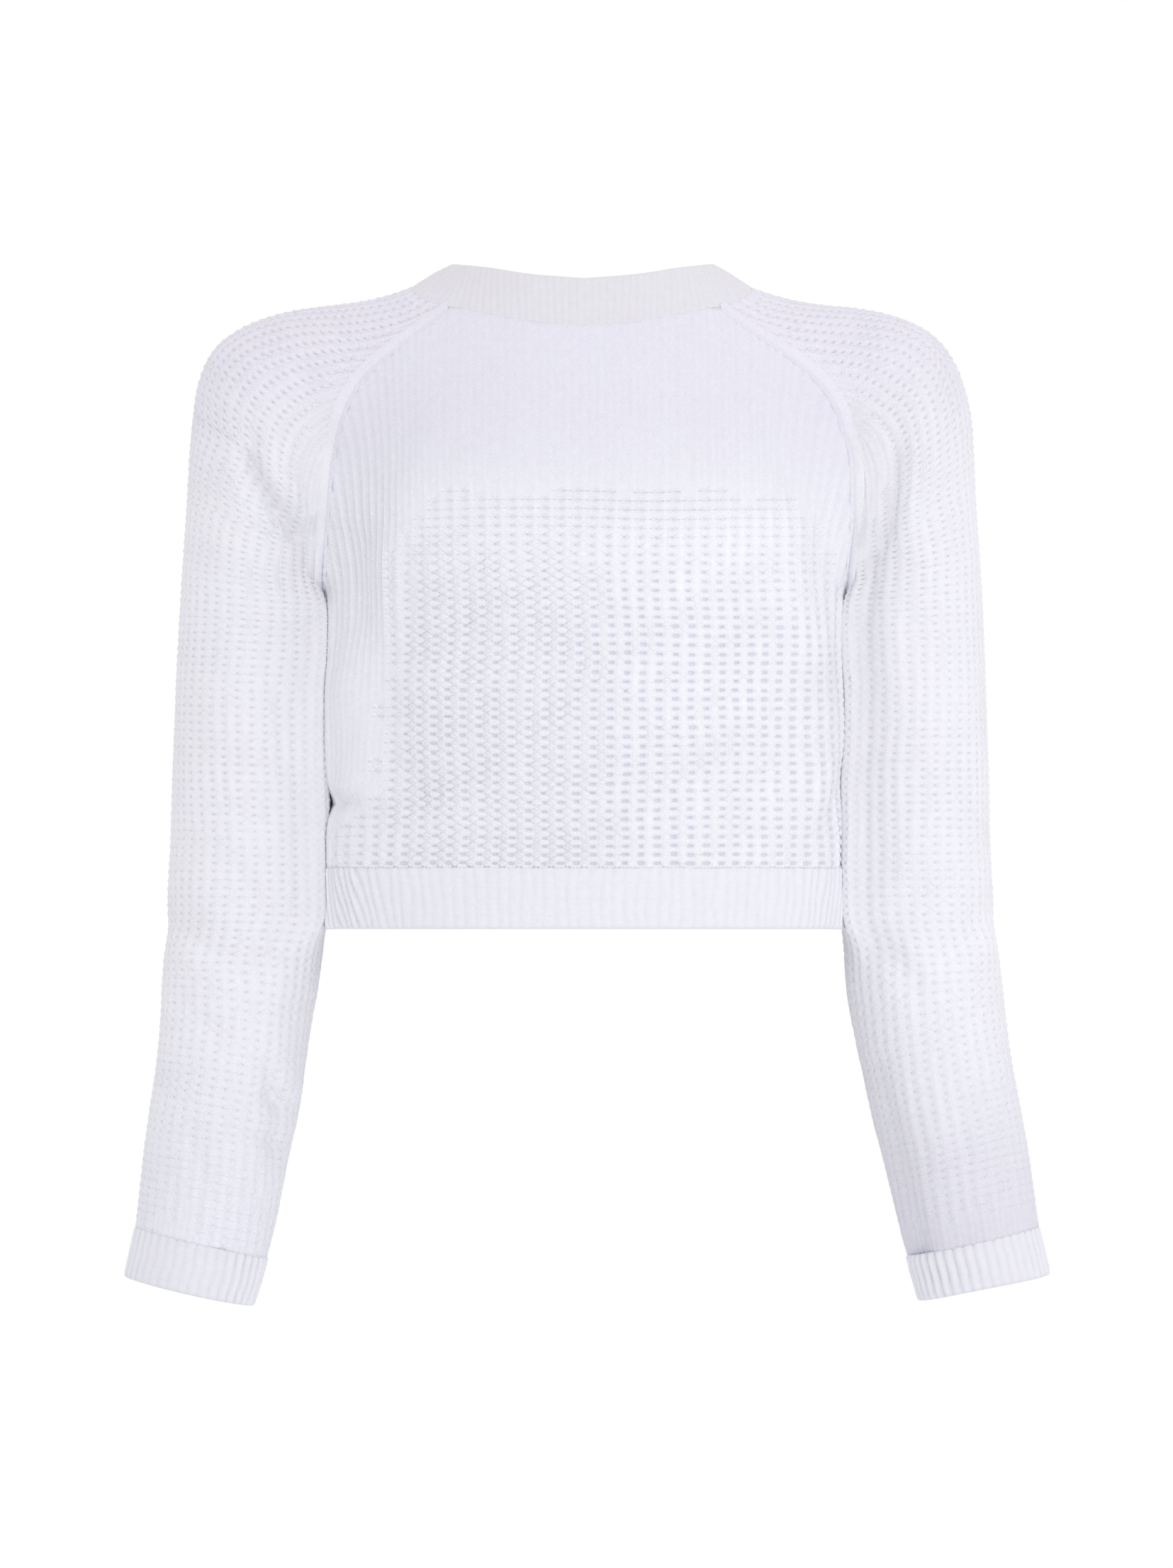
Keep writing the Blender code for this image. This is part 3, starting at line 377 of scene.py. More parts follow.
# ---------------------------------------------------------------- smaller creases
# Each is a line in the front view with its ends (x, z), a depth (negative is a ridge), a width and
# the share by which it spreads more to one side. They only mark the face they are listed for.
CREASES = {
    "columns": ("piece", "face", "x0", "z0", "x1", "z1", "depth", "width", "skew"),
    "rows": (
        # left sleeve: the bent crease that runs down from the shoulder towards the armpit
        ("sleeve_left", "front", -0.187, -0.069, -0.187, -0.084, 0.0038, 0.0050, 0.0),
        ("sleeve_left", "front", -0.187, -0.084, -0.178, -0.104, 0.0088, 0.0042, 0.5),
        ("sleeve_left", "front", -0.178, -0.104, -0.174, -0.111, 0.0096, 0.0042, 0.0),
        ("sleeve_left", "front", -0.174, -0.111, -0.163, -0.127, 0.0084, 0.0042, -0.5),
        ("sleeve_left", "front", -0.163, -0.127, -0.157, -0.133, 0.0030, 0.0045, 0.0),
        ("sleeve_left", "front", -0.176, -0.082, -0.160, -0.114, -0.0042, 0.0080, 0.0),
        ("sleeve_left", "front", -0.171, -0.122, -0.163, -0.150, -0.0023, 0.0080, 0.0),
        ("sleeve_left", "front", -0.186, -0.078, -0.162, -0.124, -0.0020, 0.0130, 0.0),
        ("sleeve_left", "front", -0.155, -0.080, -0.157, -0.108, 0.0023, 0.0050, 0.0),
        ("sleeve_left", "front", -0.176, -0.180, -0.168, -0.260, 0.0019, 0.0090, 0.0),
        ("sleeve_left", "front", -0.206, -0.300, -0.176, -0.350, 0.0027, 0.0100, 0.5),
        ("sleeve_left", "front", -0.232, -0.345, -0.196, -0.372, 0.0042, 0.0080, -0.5),
        ("sleeve_left", "front", -0.168, -0.352, -0.192, -0.388, 0.0038, 0.0085, 0.5),
        ("sleeve_left", "front", -0.228, -0.392, -0.200, -0.410, 0.0027, 0.0070, 0.0),
        ("sleeve_left", "front", -0.164, -0.448, -0.179, -0.440, 0.0038, 0.0050, 0.0),
        ("sleeve_left", "front", -0.169, -0.470, -0.182, -0.464, 0.0030, 0.0045, 0.0),
        ("sleeve_left", "front", -0.1760, -0.424, -0.1700, -0.452, 0.0036, 0.0055, 0.0),
        ("sleeve_left", "front", -0.1700, -0.452, -0.1740, -0.482, 0.0030, 0.0050, 0.0),
        ("sleeve_left", "front", -0.2040, -0.520, -0.2060, -0.552, 0.0022, 0.0060, 0.0),
        ("sleeve_left", "front", -0.224, -0.462, -0.212, -0.492, 0.0023, 0.0070, 0.0),
        # right sleeve: the sharp fold from the shoulder down beside the armpit
        ("sleeve_right", "front", 0.178, -0.074, 0.174, -0.112, 0.0042, 0.0036, 0.5),
        ("sleeve_right", "front", 0.174, -0.112, 0.172, -0.124, 0.0052, 0.0036, 0.5),
        ("sleeve_right", "front", 0.172, -0.124, 0.164, -0.142, 0.0046, 0.0036, 0.5),
        ("sleeve_right", "front", 0.164, -0.142, 0.162, -0.164, 0.0030, 0.0036, 0.4),
        ("sleeve_right", "front", 0.162, -0.164, 0.156, -0.188, 0.0016, 0.0040, 0.3),
        ("sleeve_right", "front", 0.170, -0.124, 0.155, -0.196, -0.0026, 0.0110, 0.0),
        ("sleeve_right", "front", 0.186, -0.084, 0.180, -0.132, -0.0027, 0.0075, 0.0),
        ("sleeve_right", "front", 0.202, -0.100, 0.191, -0.128, 0.0030, 0.0060, 0.0),
        ("sleeve_right", "front", 0.176, -0.150, 0.170, -0.214, -0.0023, 0.0080, 0.0),
        ("sleeve_right", "front", 0.206, -0.296, 0.178, -0.338, 0.0027, 0.0100, -0.5),
        ("sleeve_right", "front", 0.230, -0.340, 0.198, -0.370, 0.0042, 0.0085, 0.5),
        ("sleeve_right", "front", 0.166, -0.356, 0.188, -0.384, 0.0038, 0.0085, 0.0),
        ("sleeve_right", "front", 0.163, -0.426, 0.188, -0.528, 0.0046, 0.0070, 0.0),
        ("sleeve_right", "front", 0.188, -0.528, 0.190, -0.548, 0.0046, 0.0060, 0.0),
        ("sleeve_right", "front", 0.226, -0.440, 0.210, -0.468, 0.0023, 0.0075, 0.0),
        # the backs of both sleeves, folded in the same manner
        ("sleeve_left", "back", -0.196, -0.066, -0.168, -0.122, 0.0068, 0.0065, 0.5),
        ("sleeve_left", "back", -0.210, -0.120, -0.180, -0.150, 0.0030, 0.0080, 0.0),
        ("sleeve_left", "back", -0.165, -0.180, -0.178, -0.236, 0.0027, 0.0090, 0.0),
        ("sleeve_left", "back", -0.230, -0.332, -0.176, -0.356, 0.0057, 0.0085, 0.5),
        ("sleeve_left", "back", -0.232, -0.372, -0.190, -0.386, 0.0046, 0.0075, 0.0),
        ("sleeve_left", "back", -0.226, -0.452, -0.196, -0.470, 0.0027, 0.0070, 0.0),
        ("sleeve_right", "back", 0.194, -0.070, 0.170, -0.120, 0.0065, 0.0060, -0.5),
        ("sleeve_right", "back", 0.206, -0.134, 0.176, -0.158, 0.0030, 0.0080, 0.0),
        ("sleeve_right", "back", 0.168, -0.196, 0.180, -0.246, 0.0023, 0.0090, 0.0),
        ("sleeve_right", "back", 0.232, -0.336, 0.180, -0.352, 0.0053, 0.0085, -0.5),
        ("sleeve_right", "back", 0.230, -0.380, 0.188, -0.388, 0.0046, 0.0075, 0.0),
        ("sleeve_right", "back", 0.176, -0.456, 0.206, -0.478, 0.0027, 0.0070, 0.0),
        # front of the body: the pinch at the side, the soft falls below the armpits, the drape
        ("front_panel", "front", -0.150, -0.277, -0.131, -0.277, 0.0022, 0.0034, 0.0),
        ("front_panel", "front", -0.150, -0.268, -0.126, -0.271, -0.0017, 0.0045, 0.0),
        ("front_panel", "front", -0.150, -0.286, -0.128, -0.284, -0.0014, 0.0045, 0.0),
        ("front_panel", "front", -0.142, -0.268, -0.128, -0.210, 0.0022, 0.0075, 0.0),
        ("front_panel", "front", -0.131, -0.134, -0.137, -0.196, 0.0059, 0.0110, 0.0),
        ("front_panel", "front", -0.112, -0.128, -0.116, -0.205, -0.0022, 0.0080, 0.0),
        ("front_panel", "front", -0.098, -0.140, -0.100, -0.196, 0.0011, 0.0060, 0.0),
        ("front_panel", "front", 0.132, -0.118, 0.138, -0.184, 0.0025, 0.0080, 0.0),
        ("front_panel", "front", 0.118, -0.128, 0.124, -0.214, -0.0014, 0.0080, 0.0),
        ("front_panel", "front", -0.112, -0.230, -0.086, -0.298, 0.0017, 0.0110, 0.0),
        ("front_panel", "front", 0.118, -0.236, 0.094, -0.300, 0.0020, 0.0110, 0.0),
        ("front_panel", "front", 0.138, -0.250, 0.126, -0.304, -0.0014, 0.0080, 0.0),
        ("front_panel", "front", -0.050, -0.252, -0.058, -0.312, 0.0011, 0.0130, 0.0),
        ("front_panel", "front", 0.040, -0.256, 0.046, -0.314, 0.0011, 0.0130, 0.0),
        ("front_panel", "front", -0.096, -0.066, -0.112, -0.100, 0.0011, 0.0080, 0.0),
        ("front_panel", "front", 0.104, -0.066, 0.122, -0.104, 0.0011, 0.0080, 0.0),
        # back of the body: the hollow of the back and falls from the shoulder blades
        ("back_panel", "back", -0.124, -0.124, -0.104, -0.196, 0.0039, 0.0100, 0.0),
        ("back_panel", "back", 0.126, -0.120, 0.108, -0.188, 0.0036, 0.0100, 0.0),
        ("back_panel", "back", -0.084, -0.176, -0.020, -0.206, 0.0031, 0.0110, 0.0),
        ("back_panel", "back", 0.090, -0.190, 0.028, -0.220, 0.0028, 0.0110, 0.0),
        ("back_panel", "back", -0.132, -0.246, -0.070, -0.268, 0.0028, 0.0100, 0.0),
        ("back_panel", "back", 0.136, -0.254, 0.084, -0.280, 0.0031, 0.0090, 0.0),
        ("back_panel", "back", 0.010, -0.236, 0.016, -0.306, 0.0017, 0.0130, 0.0),
        ("back_panel", "back", -0.052, -0.250, -0.062, -0.310, 0.0014, 0.0120, 0.0),
    ),
}


def crease_depth(piece, p, ways):
    """How deep the creases are at each point. Lines that follow each other are one crease."""
    total, chain = np.zeros(len(p)), np.zeros(len(p))
    rows = [row for row in CREASES["rows"] if row[0] == piece]
    for k, (_, face, x0, z0, x1, z1, depth, width, skew) in enumerate(rows):
        joins = k > 0 and rows[k - 1][4:6] == (x0, z0) and rows[k - 1][1] == face
        goes_on = k + 1 < len(rows) and rows[k + 1][2:4] == (x1, z1) and rows[k + 1][1] == face
        if not joins:
            total += chain
            chain = np.zeros(len(p))
        ahead = -ways[:, 1] if face == "front" else ways[:, 1]
        on = step(-0.05, 0.30, ahead)
        a, run = np.array([x0, z0]), np.array([x1 - x0, z1 - z0])
        q = p[:, [0, 2]] - a
        t = np.clip(q @ run / (run @ run), 0, 1)
        off = q - t[:, None] * run
        across = (off[:, 0] * run[1] - off[:, 1] * run[0]) * np.sign(skew)
        wide = width * (1 + abs(skew) * np.where(across > 0, 1.2, -0.3))
        side = np.where(t < 0.5, joins, goes_on)
        ends = np.where(side, 1.0, 0.45 + 0.55 * np.sin(math.pi * np.clip(t, 0.02, 0.98)) ** 0.7)
        own = depth * on * ends * np.exp(-(((off**2).sum(axis=1)) / wide**2))
        chain = np.where(np.abs(own) > np.abs(chain), own, chain)
    return total + chain


# ---------------------------------------------------------------- smooth base surfaces
class Cloth:
    """A smooth base surface: a stack of rows, each a line of points across the piece. A place on
    it is (s, r): s metres along a row from the piece's middle line, and r in rows."""

    def __init__(self, piece, rows, middle, outward, ds=0.002):
        """rows is (R, M, 3), middle each row's length up to the piece's middle line, and outward
        roughly the way out at each point."""
        outward = unit(outward)
        push = crease_depth(piece, rows.reshape(-1, 3), outward.reshape(-1, 3))
        rows = rows - outward * push.reshape(rows.shape[:2] + (1,))
        self.piece, self.count = piece, len(rows)
        s = runs(rows) - middle[:, None]
        self.low, self.high = s[:, 0].copy(), s[:, -1].copy()
        n = np.cross(np.gradient(rows, axis=1), np.gradient(rows, axis=0))
        n = n / np.maximum(np.linalg.norm(n, axis=2, keepdims=True), 1e-12)
        n *= np.sign((n * outward).sum(axis=2, keepdims=True))
        for _ in range(2):
            wide = np.concatenate([n[:, :1], n, n[:, -1:]], axis=1)
            n = unit(wide[:, :-2] + 2 * wide[:, 1:-1] + wide[:, 2:])
            tall = np.concatenate([n[:1], n, n[-1:]], axis=0)
            n = unit(tall[:-2] + 2 * tall[1:-1] + tall[2:])
        self.n_edge = n[:, 0], n[:, -1]
        self.rows, self.s, self.n = rows, s, n
        # Every row is also kept as evenly spaced shares of its own width.
        self.share = np.linspace(0, 1, 241)
        self.points = np.empty((self.count, 241, 3))
        self.normals = np.empty((self.count, 241, 3))
        for r in range(self.count):
            own = (s[r] - s[r, 0]) / max(s[r, -1] - s[r, 0], 1e-9)
            for i in range(3):
                self.points[r, :, i] = np.interp(self.share, own, rows[r, :, i])
                self.normals[r, :, i] = np.interp(self.share, own, n[r, :, i])
        line = self.at(np.zeros(self.count), np.arange(self.count))[0]
        self.rise = runs(line)

    def edges(self, r):
        rows = np.arange(self.count)
        return np.interp(r, rows, self.low), np.interp(r, rows, self.high)

    def at(self, s, r):
        """Points and ways out at (s, r). Past an edge of the piece they stay on the edge."""
        r = np.clip(r, 0, self.count - 1)
        j = np.minimum(r.astype(int), self.count - 2)
        fr = (r - j)[:, None]
        low, high = self.edges(r)
        share = (np.clip(s, low, high) - low) / np.maximum(high - low, 1e-9)
        c = share * 240
        i = np.minimum(c.astype(int), 239)
        f = (c - i)[:, None]
        out = []
        for grid in (self.points, self.normals):
            a = grid[j, i] * (1 - f) + grid[j, i + 1] * f
            b = grid[j + 1, i] * (1 - f) + grid[j + 1, i + 1] * f
            out.append(a * (1 - fr) + b * fr)
        return out[0], unit(out[1])


PANEL_TOP = 0.0210


def panel_cloth(piece, front):
    """A body panel's base: level rows from the hem rib up past the neck, every 4 mm."""
    sign = 1 if front else -1
    zs = np.arange(HEM_Z + HEM_RIB_HEIGHT + GAP, PANEL_TOP, 0.004)
    seams = [SEAMS[-1, front], SEAMS[1, front]]
    reach = []
    for points, angle in seams:
        own = np.interp(zs, points[:, 2], angle)
        own = own if front else 180 - own
        reach.append(np.where(zs < UNDERARM_Z, 90.0, own))
    share = np.linspace(0, 1, 121)
    angles = -reach[0][:, None] * (1 - share) + reach[1][:, None] * share
    turn = np.radians(angles)
    way = np.stack([np.sin(turn), -sign * np.cos(turn), 0 * turn], axis=2)
    origin = np.zeros(way.shape)
    origin[..., 2] = zs[:, None]
    low = zs < UNDERARM_Z
    points = np.empty(way.shape)
    points[low] = cast(origin[low].reshape(-1, 3), way[low].reshape(-1, 3), "torso").reshape(
        points[low].shape
    )
    row_of = np.interp(zs, seams[1][0][:, 2], RAGLAN_STEPS)
    bridge = np.repeat(np.interp(row_of, *BRIDGE)[~low], len(share))
    points[~low] = cast_by(
        origin[~low].reshape(-1, 3), way[~low].reshape(-1, 3), "torso", bridge
    ).reshape(points[~low].shape)
    half = len(share) // 2
    for i in np.flatnonzero(~low):
        for end, (seam, _) in ((0, seams[0]), (-1, seams[1])):
            target = np.array([np.interp(zs[i], seam[:, 2], seam[:, k]) for k in range(3)])
            # The row is cut where it would run past the seam.
            own = slice(half, None) if end else slice(half, None, -1)
            line, turned = points[i, own], angles[i, own]
            past = np.flatnonzero(np.abs(line[:, 0]) > abs(target[0]) + 2e-4)
            if len(past):
                k = past[0]
                before, after = abs(line[k - 1, 0]), abs(line[k, 0])
                stop = k - 1 + (abs(target[0]) - before) / max(after - before, 1e-9)
                at = np.linspace(0, stop, len(line))
                count = np.arange(len(line))
                points[i, own] = np.stack([np.interp(at, count, line[:, c]) for c in range(3)], 1)
                angles[i, own] = np.interp(at, count, turned)
            pull = np.exp(-(((share if end == 0 else 1 - share) / 0.06) ** 2))[:, None]
            points[i] = points[i] + (target - points[i, end]) * pull
    # Above the underarm the rows are drawn into an even surface, with the seams left in place.
    held = step(0.0, 0.020, np.minimum(share, 1 - share))[None, :, None]
    loose = step(UNDERARM_Z + 0.004, UNDERARM_Z + 0.028, zs) * (1 - step(-0.040, -0.012, zs))
    held = held * loose[:, None, None]
    edge = np.minimum(share, 1 - share)
    ends = (step(0.0, 0.012, edge) * (1 - step(0.09, 0.15, edge)))[None, :, None]
    ends = ends * loose[:, None, None]
    for _ in range(36):
        even = points.copy()
        even[1:-1] = 0.25 * (points[:-2] + 2 * points[1:-1] + points[2:])
        even[:, :, 2] = points[:, :, 2]
        points = points + (even - points) * held
        even = points.copy()
        even[:, 1:-1] = 0.25 * (points[:, :-2] + 2 * points[:, 1:-1] + points[:, 2:])
        points = points + (even - points) * ends
        even = angles.copy()
        even[1:-1] = 0.25 * (angles[:-2] + 2 * angles[1:-1] + angles[2:])
        angles = angles + (even - angles) * held[:, :, 0]
    length = runs(points)
    middle = np.array([np.interp(0, angles[i], length[i]) for i in range(len(zs))])
    cloth = Cloth(piece, points, middle, way)
    cloth.zs, cloth.angles, cloth.front = zs, angles, front
    # Where the neckband's seam crosses the panel: s in order, and the row there.
    ends = [seam[1][-1] if front else 180 - seam[1][-1] for seam in seams]
    own = np.linspace(-ends[0], ends[1], 161)
    around = np.abs(own) if front else 180 - np.abs(own)
    r = (read(NECK, "angle", "seam_z", around) - zs[0]) / 0.004
    j = np.clip(r.astype(int), 0, len(zs) - 2)
    f = r - j
    at = [
        np.array([np.interp(own[k], angles[j[k] + d], cloth.s[j[k] + d]) for k in range(len(own))])
        for d in (0, 1)
    ]
    s = at[0] * (1 - f) + at[1] * f
    order = np.argsort(s)
    cloth.neck = s[order], r[order]
    return cloth


def along_arm(side, z):
    at, path, _ = PATHS[side]
    return np.interp(z, path[:, 1], at)


def arm_ring(side, alongs, samples):
    """Rings round the arm, square to its path, from its inner side over the front, the outer side
    and the back to the inner side again."""
    at, path, tangent = PATHS[side]
    x, z, _, _, y = (np.interp(alongs, at, path[:, i]) for i in range(5))
    tx, tz = np.interp(alongs, at, tangent[:, 0]), np.interp(alongs, at, tangent[:, 1])
    tx = tx * (1 - step(-0.235, UNDERARM_Z - 0.004, z))  # level where the seams begin
    size = np.hypot(tx, tz)
    out = np.stack([tz / size * side, 0 * tx, -tx / size], axis=1)
    # Each ring starts on the sleeve's inner line, which comes forward to the end of the seams.
    first = 0.092 * step(-0.30, UNDERARM_Z - 0.002, z)[:, None, None]
    turn = np.linspace(0, 2 * math.pi, samples)[None, :, None] + first
    origin = np.stack([x * side, y, z], axis=1)[:, None, :] + np.zeros((1, samples, 1))
    way = -np.cos(turn) * out[:, None, :]
    way = way - np.sin(turn) * np.array([0, 1, 0])
    points = cast(origin.reshape(-1, 3), way.reshape(-1, 3), "arm").reshape(origin.shape)
    return points, way


def eased(points, first, share):
    """The cap's rows drawn into one even curve over the shoulder, with its seams left in place."""
    rows = np.arange(len(points))
    held = step(0.015, 0.10, np.minimum(share, 1 - share))[None, :, None]
    loose = step(first - 8, first + 8, rows) * (1 - step(len(points) - 9, len(points) - 2, rows))
    loose = loose[:, None, None]
    for _ in range(70):
        even = points.copy()
        even[1:-1] = 0.25 * (points[:-2] + 2 * points[1:-1] + points[2:])
        points = points + (even - points) * held * loose
    for _ in range(12):
        even = points.copy()
        even[:, 1:-1] = 0.25 * (points[:, :-2] + 2 * points[:, 1:-1] + points[:, 2:])
        points = points + (even - points) * held * loose
    held = step(0.0, 0.035, np.minimum(share, 1 - share))[None, :, None]
    loose = step(first - 14, first - 5, rows) * (1 - step(first + 5, first + 14, rows))
    for _ in range(60):
        even = points.copy()
        even[1:-1] = 0.25 * (points[:-2] + 2 * points[1:-1] + points[2:])
        points = points + (even - points) * held * loose[:, None, None]
    return points


def against_body(points, side, body):
    """Each ring's front inner quarter pushed inwards until it lies against the body's side. body
    is the front panel's base."""
    turn = np.linspace(0, 2 * math.pi, points.shape[1])
    near = turn < 0.68
    push = np.zeros(points.shape[:2])
    half = body.points.shape[1] // 2
    for i in range(len(points)):
        z = points[i, 0, 2]
        if not -0.366 < z < -0.146:
            continue
        r = np.clip((z - body.zs[0]) / 0.004, 0, body.count - 1.001)
        k = int(r)
        row = body.points[k] * (1 + k - r) + body.points[k + 1] * (r - k)
        row = row[half:] if side > 0 else row[: half + 1][::-1]
        order = np.argsort(row[:, 1])
        wide = np.interp(points[i, :, 1], row[order, 1], np.maximum(row[order, 0] * side, 0.1415))
        own = np.clip(points[i, :, 0] * side - wide + 0.0008, -0.003, 0.012)
        last = own[near][-1]
        push[i] = np.where(near, own, last * np.exp(-(((turn - turn[near][-1]) / 0.45) ** 2)))
        back = turn > math.pi
        push[i, back] = own[0] * np.exp(-(((turn[back] - 2 * math.pi) / 0.5) ** 2))
    z = points[:, 0, 2]
    push *= (step(-0.364, -0.338, z) * (1 - step(-0.166, -0.148, z)))[:, None]
    for k in range(6):
        if k < 2:
            push[1:-1] = 0.25 * (push[:-2] + 2 * push[1:-1] + push[2:])
        push[:, 1:-1] = 0.25 * (push[:, :-2] + 2 * push[:, 1:-1] + push[:, 2:])
    points = points.copy()
    points[:, :, 0] -= side * push
    return points


def sleeve_cloth(piece, side, body):
    """A sleeve's base: rings up the arm, then rows over the cap from seam to seam."""
    samples = 121
    start = along_arm(side, -0.5510) + CUFF_LENGTH + GAP
    end = along_arm(side, UNDERARM_Z)
    tube, tube_out = arm_ring(side, np.linspace(start, end, 93)[:-1], samples)
    front, front_angle = SEAMS[side, True]
    back, back_angle = SEAMS[side, False]
    neck = neck_seam(np.linspace(front_angle[-1], back_angle[-1], 121) * side)
    line = np.stack([column(SHOULDER_LINE, c) for c in "xyz"], axis=1) * [side, 1, 1]
    steps = column(SHOULDER_LINE, "step")
    line[-1] = neck[len(neck) // 2]
    rows, ways, off = [], [], None
    across_share = np.linspace(0, 1, samples)
    for i in reversed(range(len(RAGLAN_STEPS))):
        share = RAGLAN_STEPS[i] / 10
        over = np.array([smooth(steps, line[:, c], share) for c in range(3)])
        middle = 0.5 * (front[i] + back[i])
        centre = middle + (over - middle) * (0.5 - 0.15 * step(0.0, 0.5, share))
        up = unit(over - centre)
        across = unit(back[i] - front[i]) if i else np.array([0.0, 1.0, 0.0])
        across = unit(across - (across @ up) * up)
        first, last = front[i] - centre, back[i] - centre
        a0 = math.atan2(first @ across, first @ up)
        a1 = math.atan2(last @ across, last @ up)
        if i == 0:
            a0, a1 = -math.pi, math.pi
        turn = np.linspace(a0, a1, samples)
        way = np.cos(turn)[:, None] * up + np.sin(turn)[:, None] * across
        bridge = np.full(samples, np.interp(RAGLAN_STEPS[i], *BRIDGE))
        points = cast_by(np.tile(centre, (samples, 1)), way, "arm", bridge)
        for edge, target in ((0, front[i]), (-1, back[i])):
            pull = np.exp(-(((across_share if edge == 0 else 1 - across_share) / 0.07) ** 2))
            points = points + (target - points[edge]) * pull[:, None]
        if off is None:
            own, want = runs(points), runs(neck)
            exact = np.stack(
                [np.interp(own / own[-1], want / want[-1], neck[:, c]) for c in range(3)], axis=1
            )
            off = exact - points
            points = exact
        else:
            moved = points + off * step(0.6, 1.0, share)
            moved[[0, -1]] = points[[0, -1]]
            points = moved
        rows.insert(0, points)
        ways.insert(0, way)
    points = np.concatenate([tube, np.array(rows)])
    outward = np.concatenate([tube_out, np.array(ways)])
    points = eased(points, len(tube), across_share)
    points = against_body(points, side, body)
    length = runs(points)
    over = 0.5 * length[:, -1]
    # The middle line is the outermost line of the arm, and the shoulder line higher up.
    cloth = Cloth(piece, points, over, outward)
    cloth.first_cap = len(tube)
    tube_rows = np.arange(cloth.first_cap + 1)
    both = unit(cloth.normals[tube_rows, 0] + cloth.normals[tube_rows, -1])
    cloth.normals[tube_rows, 0] = cloth.normals[tube_rows, -1] = both
    same = 0.5 * (cloth.points[tube_rows, 0] + cloth.points[tube_rows, -1])
    cloth.points[tube_rows, 0] = cloth.points[tube_rows, -1] = same
    return cloth


# ---------------------------------------------------------------- stitch cells
# One cell is one rib column wide and one knitted row high. Its border points are shared with the
# cells beside it: (0, 0) and (0, .5) on the rib, and three on the bar between two eyelets.
BORDER = (
    (0, 0, 0),
    (2, 0, 0),
    (3, 0, 0),
    (4, 0, 0),
    (0, 1, 0),
    (1, 1, 0),
    (0, 1, 1),
    (4, 0, 1),
    (3, 0, 1),
    (2, 0, 1),
    (0, 0, 1),
    (1, 0, 0),
)  # (kind, column step, row step), counterclockwise
BORDER_UV = (
    (0, 0), (0.2, 0), (0.5, 0), (0.8, 0), (1, 0), (1, 0.5),
    (1, 1), (0.8, 1), (0.5, 1), (0.2, 1), (0, 1), (0, 0.5),
)  # fmt: skip
RING = (
    (-1, -0.50), (-0.52, -1), (0.52, -1), (1, -0.50), (1, 0.50), (0.52, 1), (-0.52, 1), (-1, 0.50),
)  # the eyelet's edge, as shares of its half width and half height  # fmt: skip


def triangles(inside, ring=()):
    """Triangles over a cell with these extra points, leaving out the eyelet where there is one."""
    points = [Vector(p) for p in BORDER_UV]
    points += [Vector(p) for p in inside]
    points += [Vector((0.5 + 0.25 * a, 0.5 + 0.22 * b)) for a, b in ring]
    start = len(points) - len(ring)
    edges = [(start + i, start + (i + 1) % len(ring)) for i in range(len(ring))]
    made = delaunay_2d_cdt(points, edges, [list(range(len(BORDER_UV)))], 1, 1e-6)
    out = []
    for face in made[2]:
        face = [made[3][i][0] for i in face]
        if ring and all(i >= start for i in face):
            continue
        (ax, ay), (bx, by), (cx, cy) = (points[i] for i in face)
        if (bx - ax) * (cy - ay) - (by - ay) * (cx - ax) < 0:
            face = face[::-1]
        out.append(face)
    return np.array(out)


# Triangles of an openwork cell: eight corners round its eyelet and two more points on its ribs.
OPEN_OUTER = triangles([(0.15, 0.5), (0.85, 0.5)], RING)
CLOSED_OUTER = triangles([(0.25, 0.5), (0.5, 0.5), (0.75, 0.5)])
CELL_INNER = triangles([])
FLOOR = np.array([(0, k, k + 1) for k in range(1, 7)])


class Noise:
    """Smooth random waves over the plane, about 1 high."""

    def __init__(self, seed, size, count=7):
        rng = np.random.default_rng(seed)
        turn = rng.uniform(0, 2 * math.pi, count)
        wave = rng.uniform(0.6, 1.6, count) * 2 * math.pi / size
        self.kx, self.ky = np.cos(turn) * wave, np.sin(turn) * wave
        self.phase = rng.uniform(0, 2 * math.pi, count)

    def __call__(self, x, y):
        total = 0
        for kx, ky, phase in zip(self.kx, self.ky, self.phase, strict=True):
            total = total + np.sin(kx * x + ky * y + phase)
        return total / math.sqrt(len(self.phase)) * 1.1


# Small shifts of the whole garment, as (x, z, reach in x, reach in z, shift in x, shift in z):
# the corners of the shoulders stand out a little and the slopes beside the neck lie lower.
SHIFTS = (
    (-0.205, -0.018, 0.030, 0.034, -0.0048, 0.0026),
    (0.202, -0.010, 0.028, 0.026, 0.0024, 0.0024),
    (-0.122, 0.008, 0.036, 0.030, 0.0000, -0.0014),
    (0.124, 0.008, 0.036, 0.030, 0.0000, -0.0020),
    (0.094, 0.018, 0.026, 0.022, -0.0042, -0.0004),
    (-0.094, 0.018, 0.026, 0.022, 0.0014, -0.0006),
    (-0.152, -0.402, 0.018, 0.030, -0.0030, 0.0),
    (0.152, -0.398, 0.018, 0.034, 0.0018, 0.0),
    (-0.254, -0.515, 0.026, 0.034, 0.0026, 0.0),
    (0.256, -0.515, 0.026, 0.034, -0.0026, 0.0),
    (0.225, -0.560, 0.060, 0.026, 0.0, 0.0026),
    (-0.225, -0.560, 0.060, 0.026, 0.0, -0.0008),
)


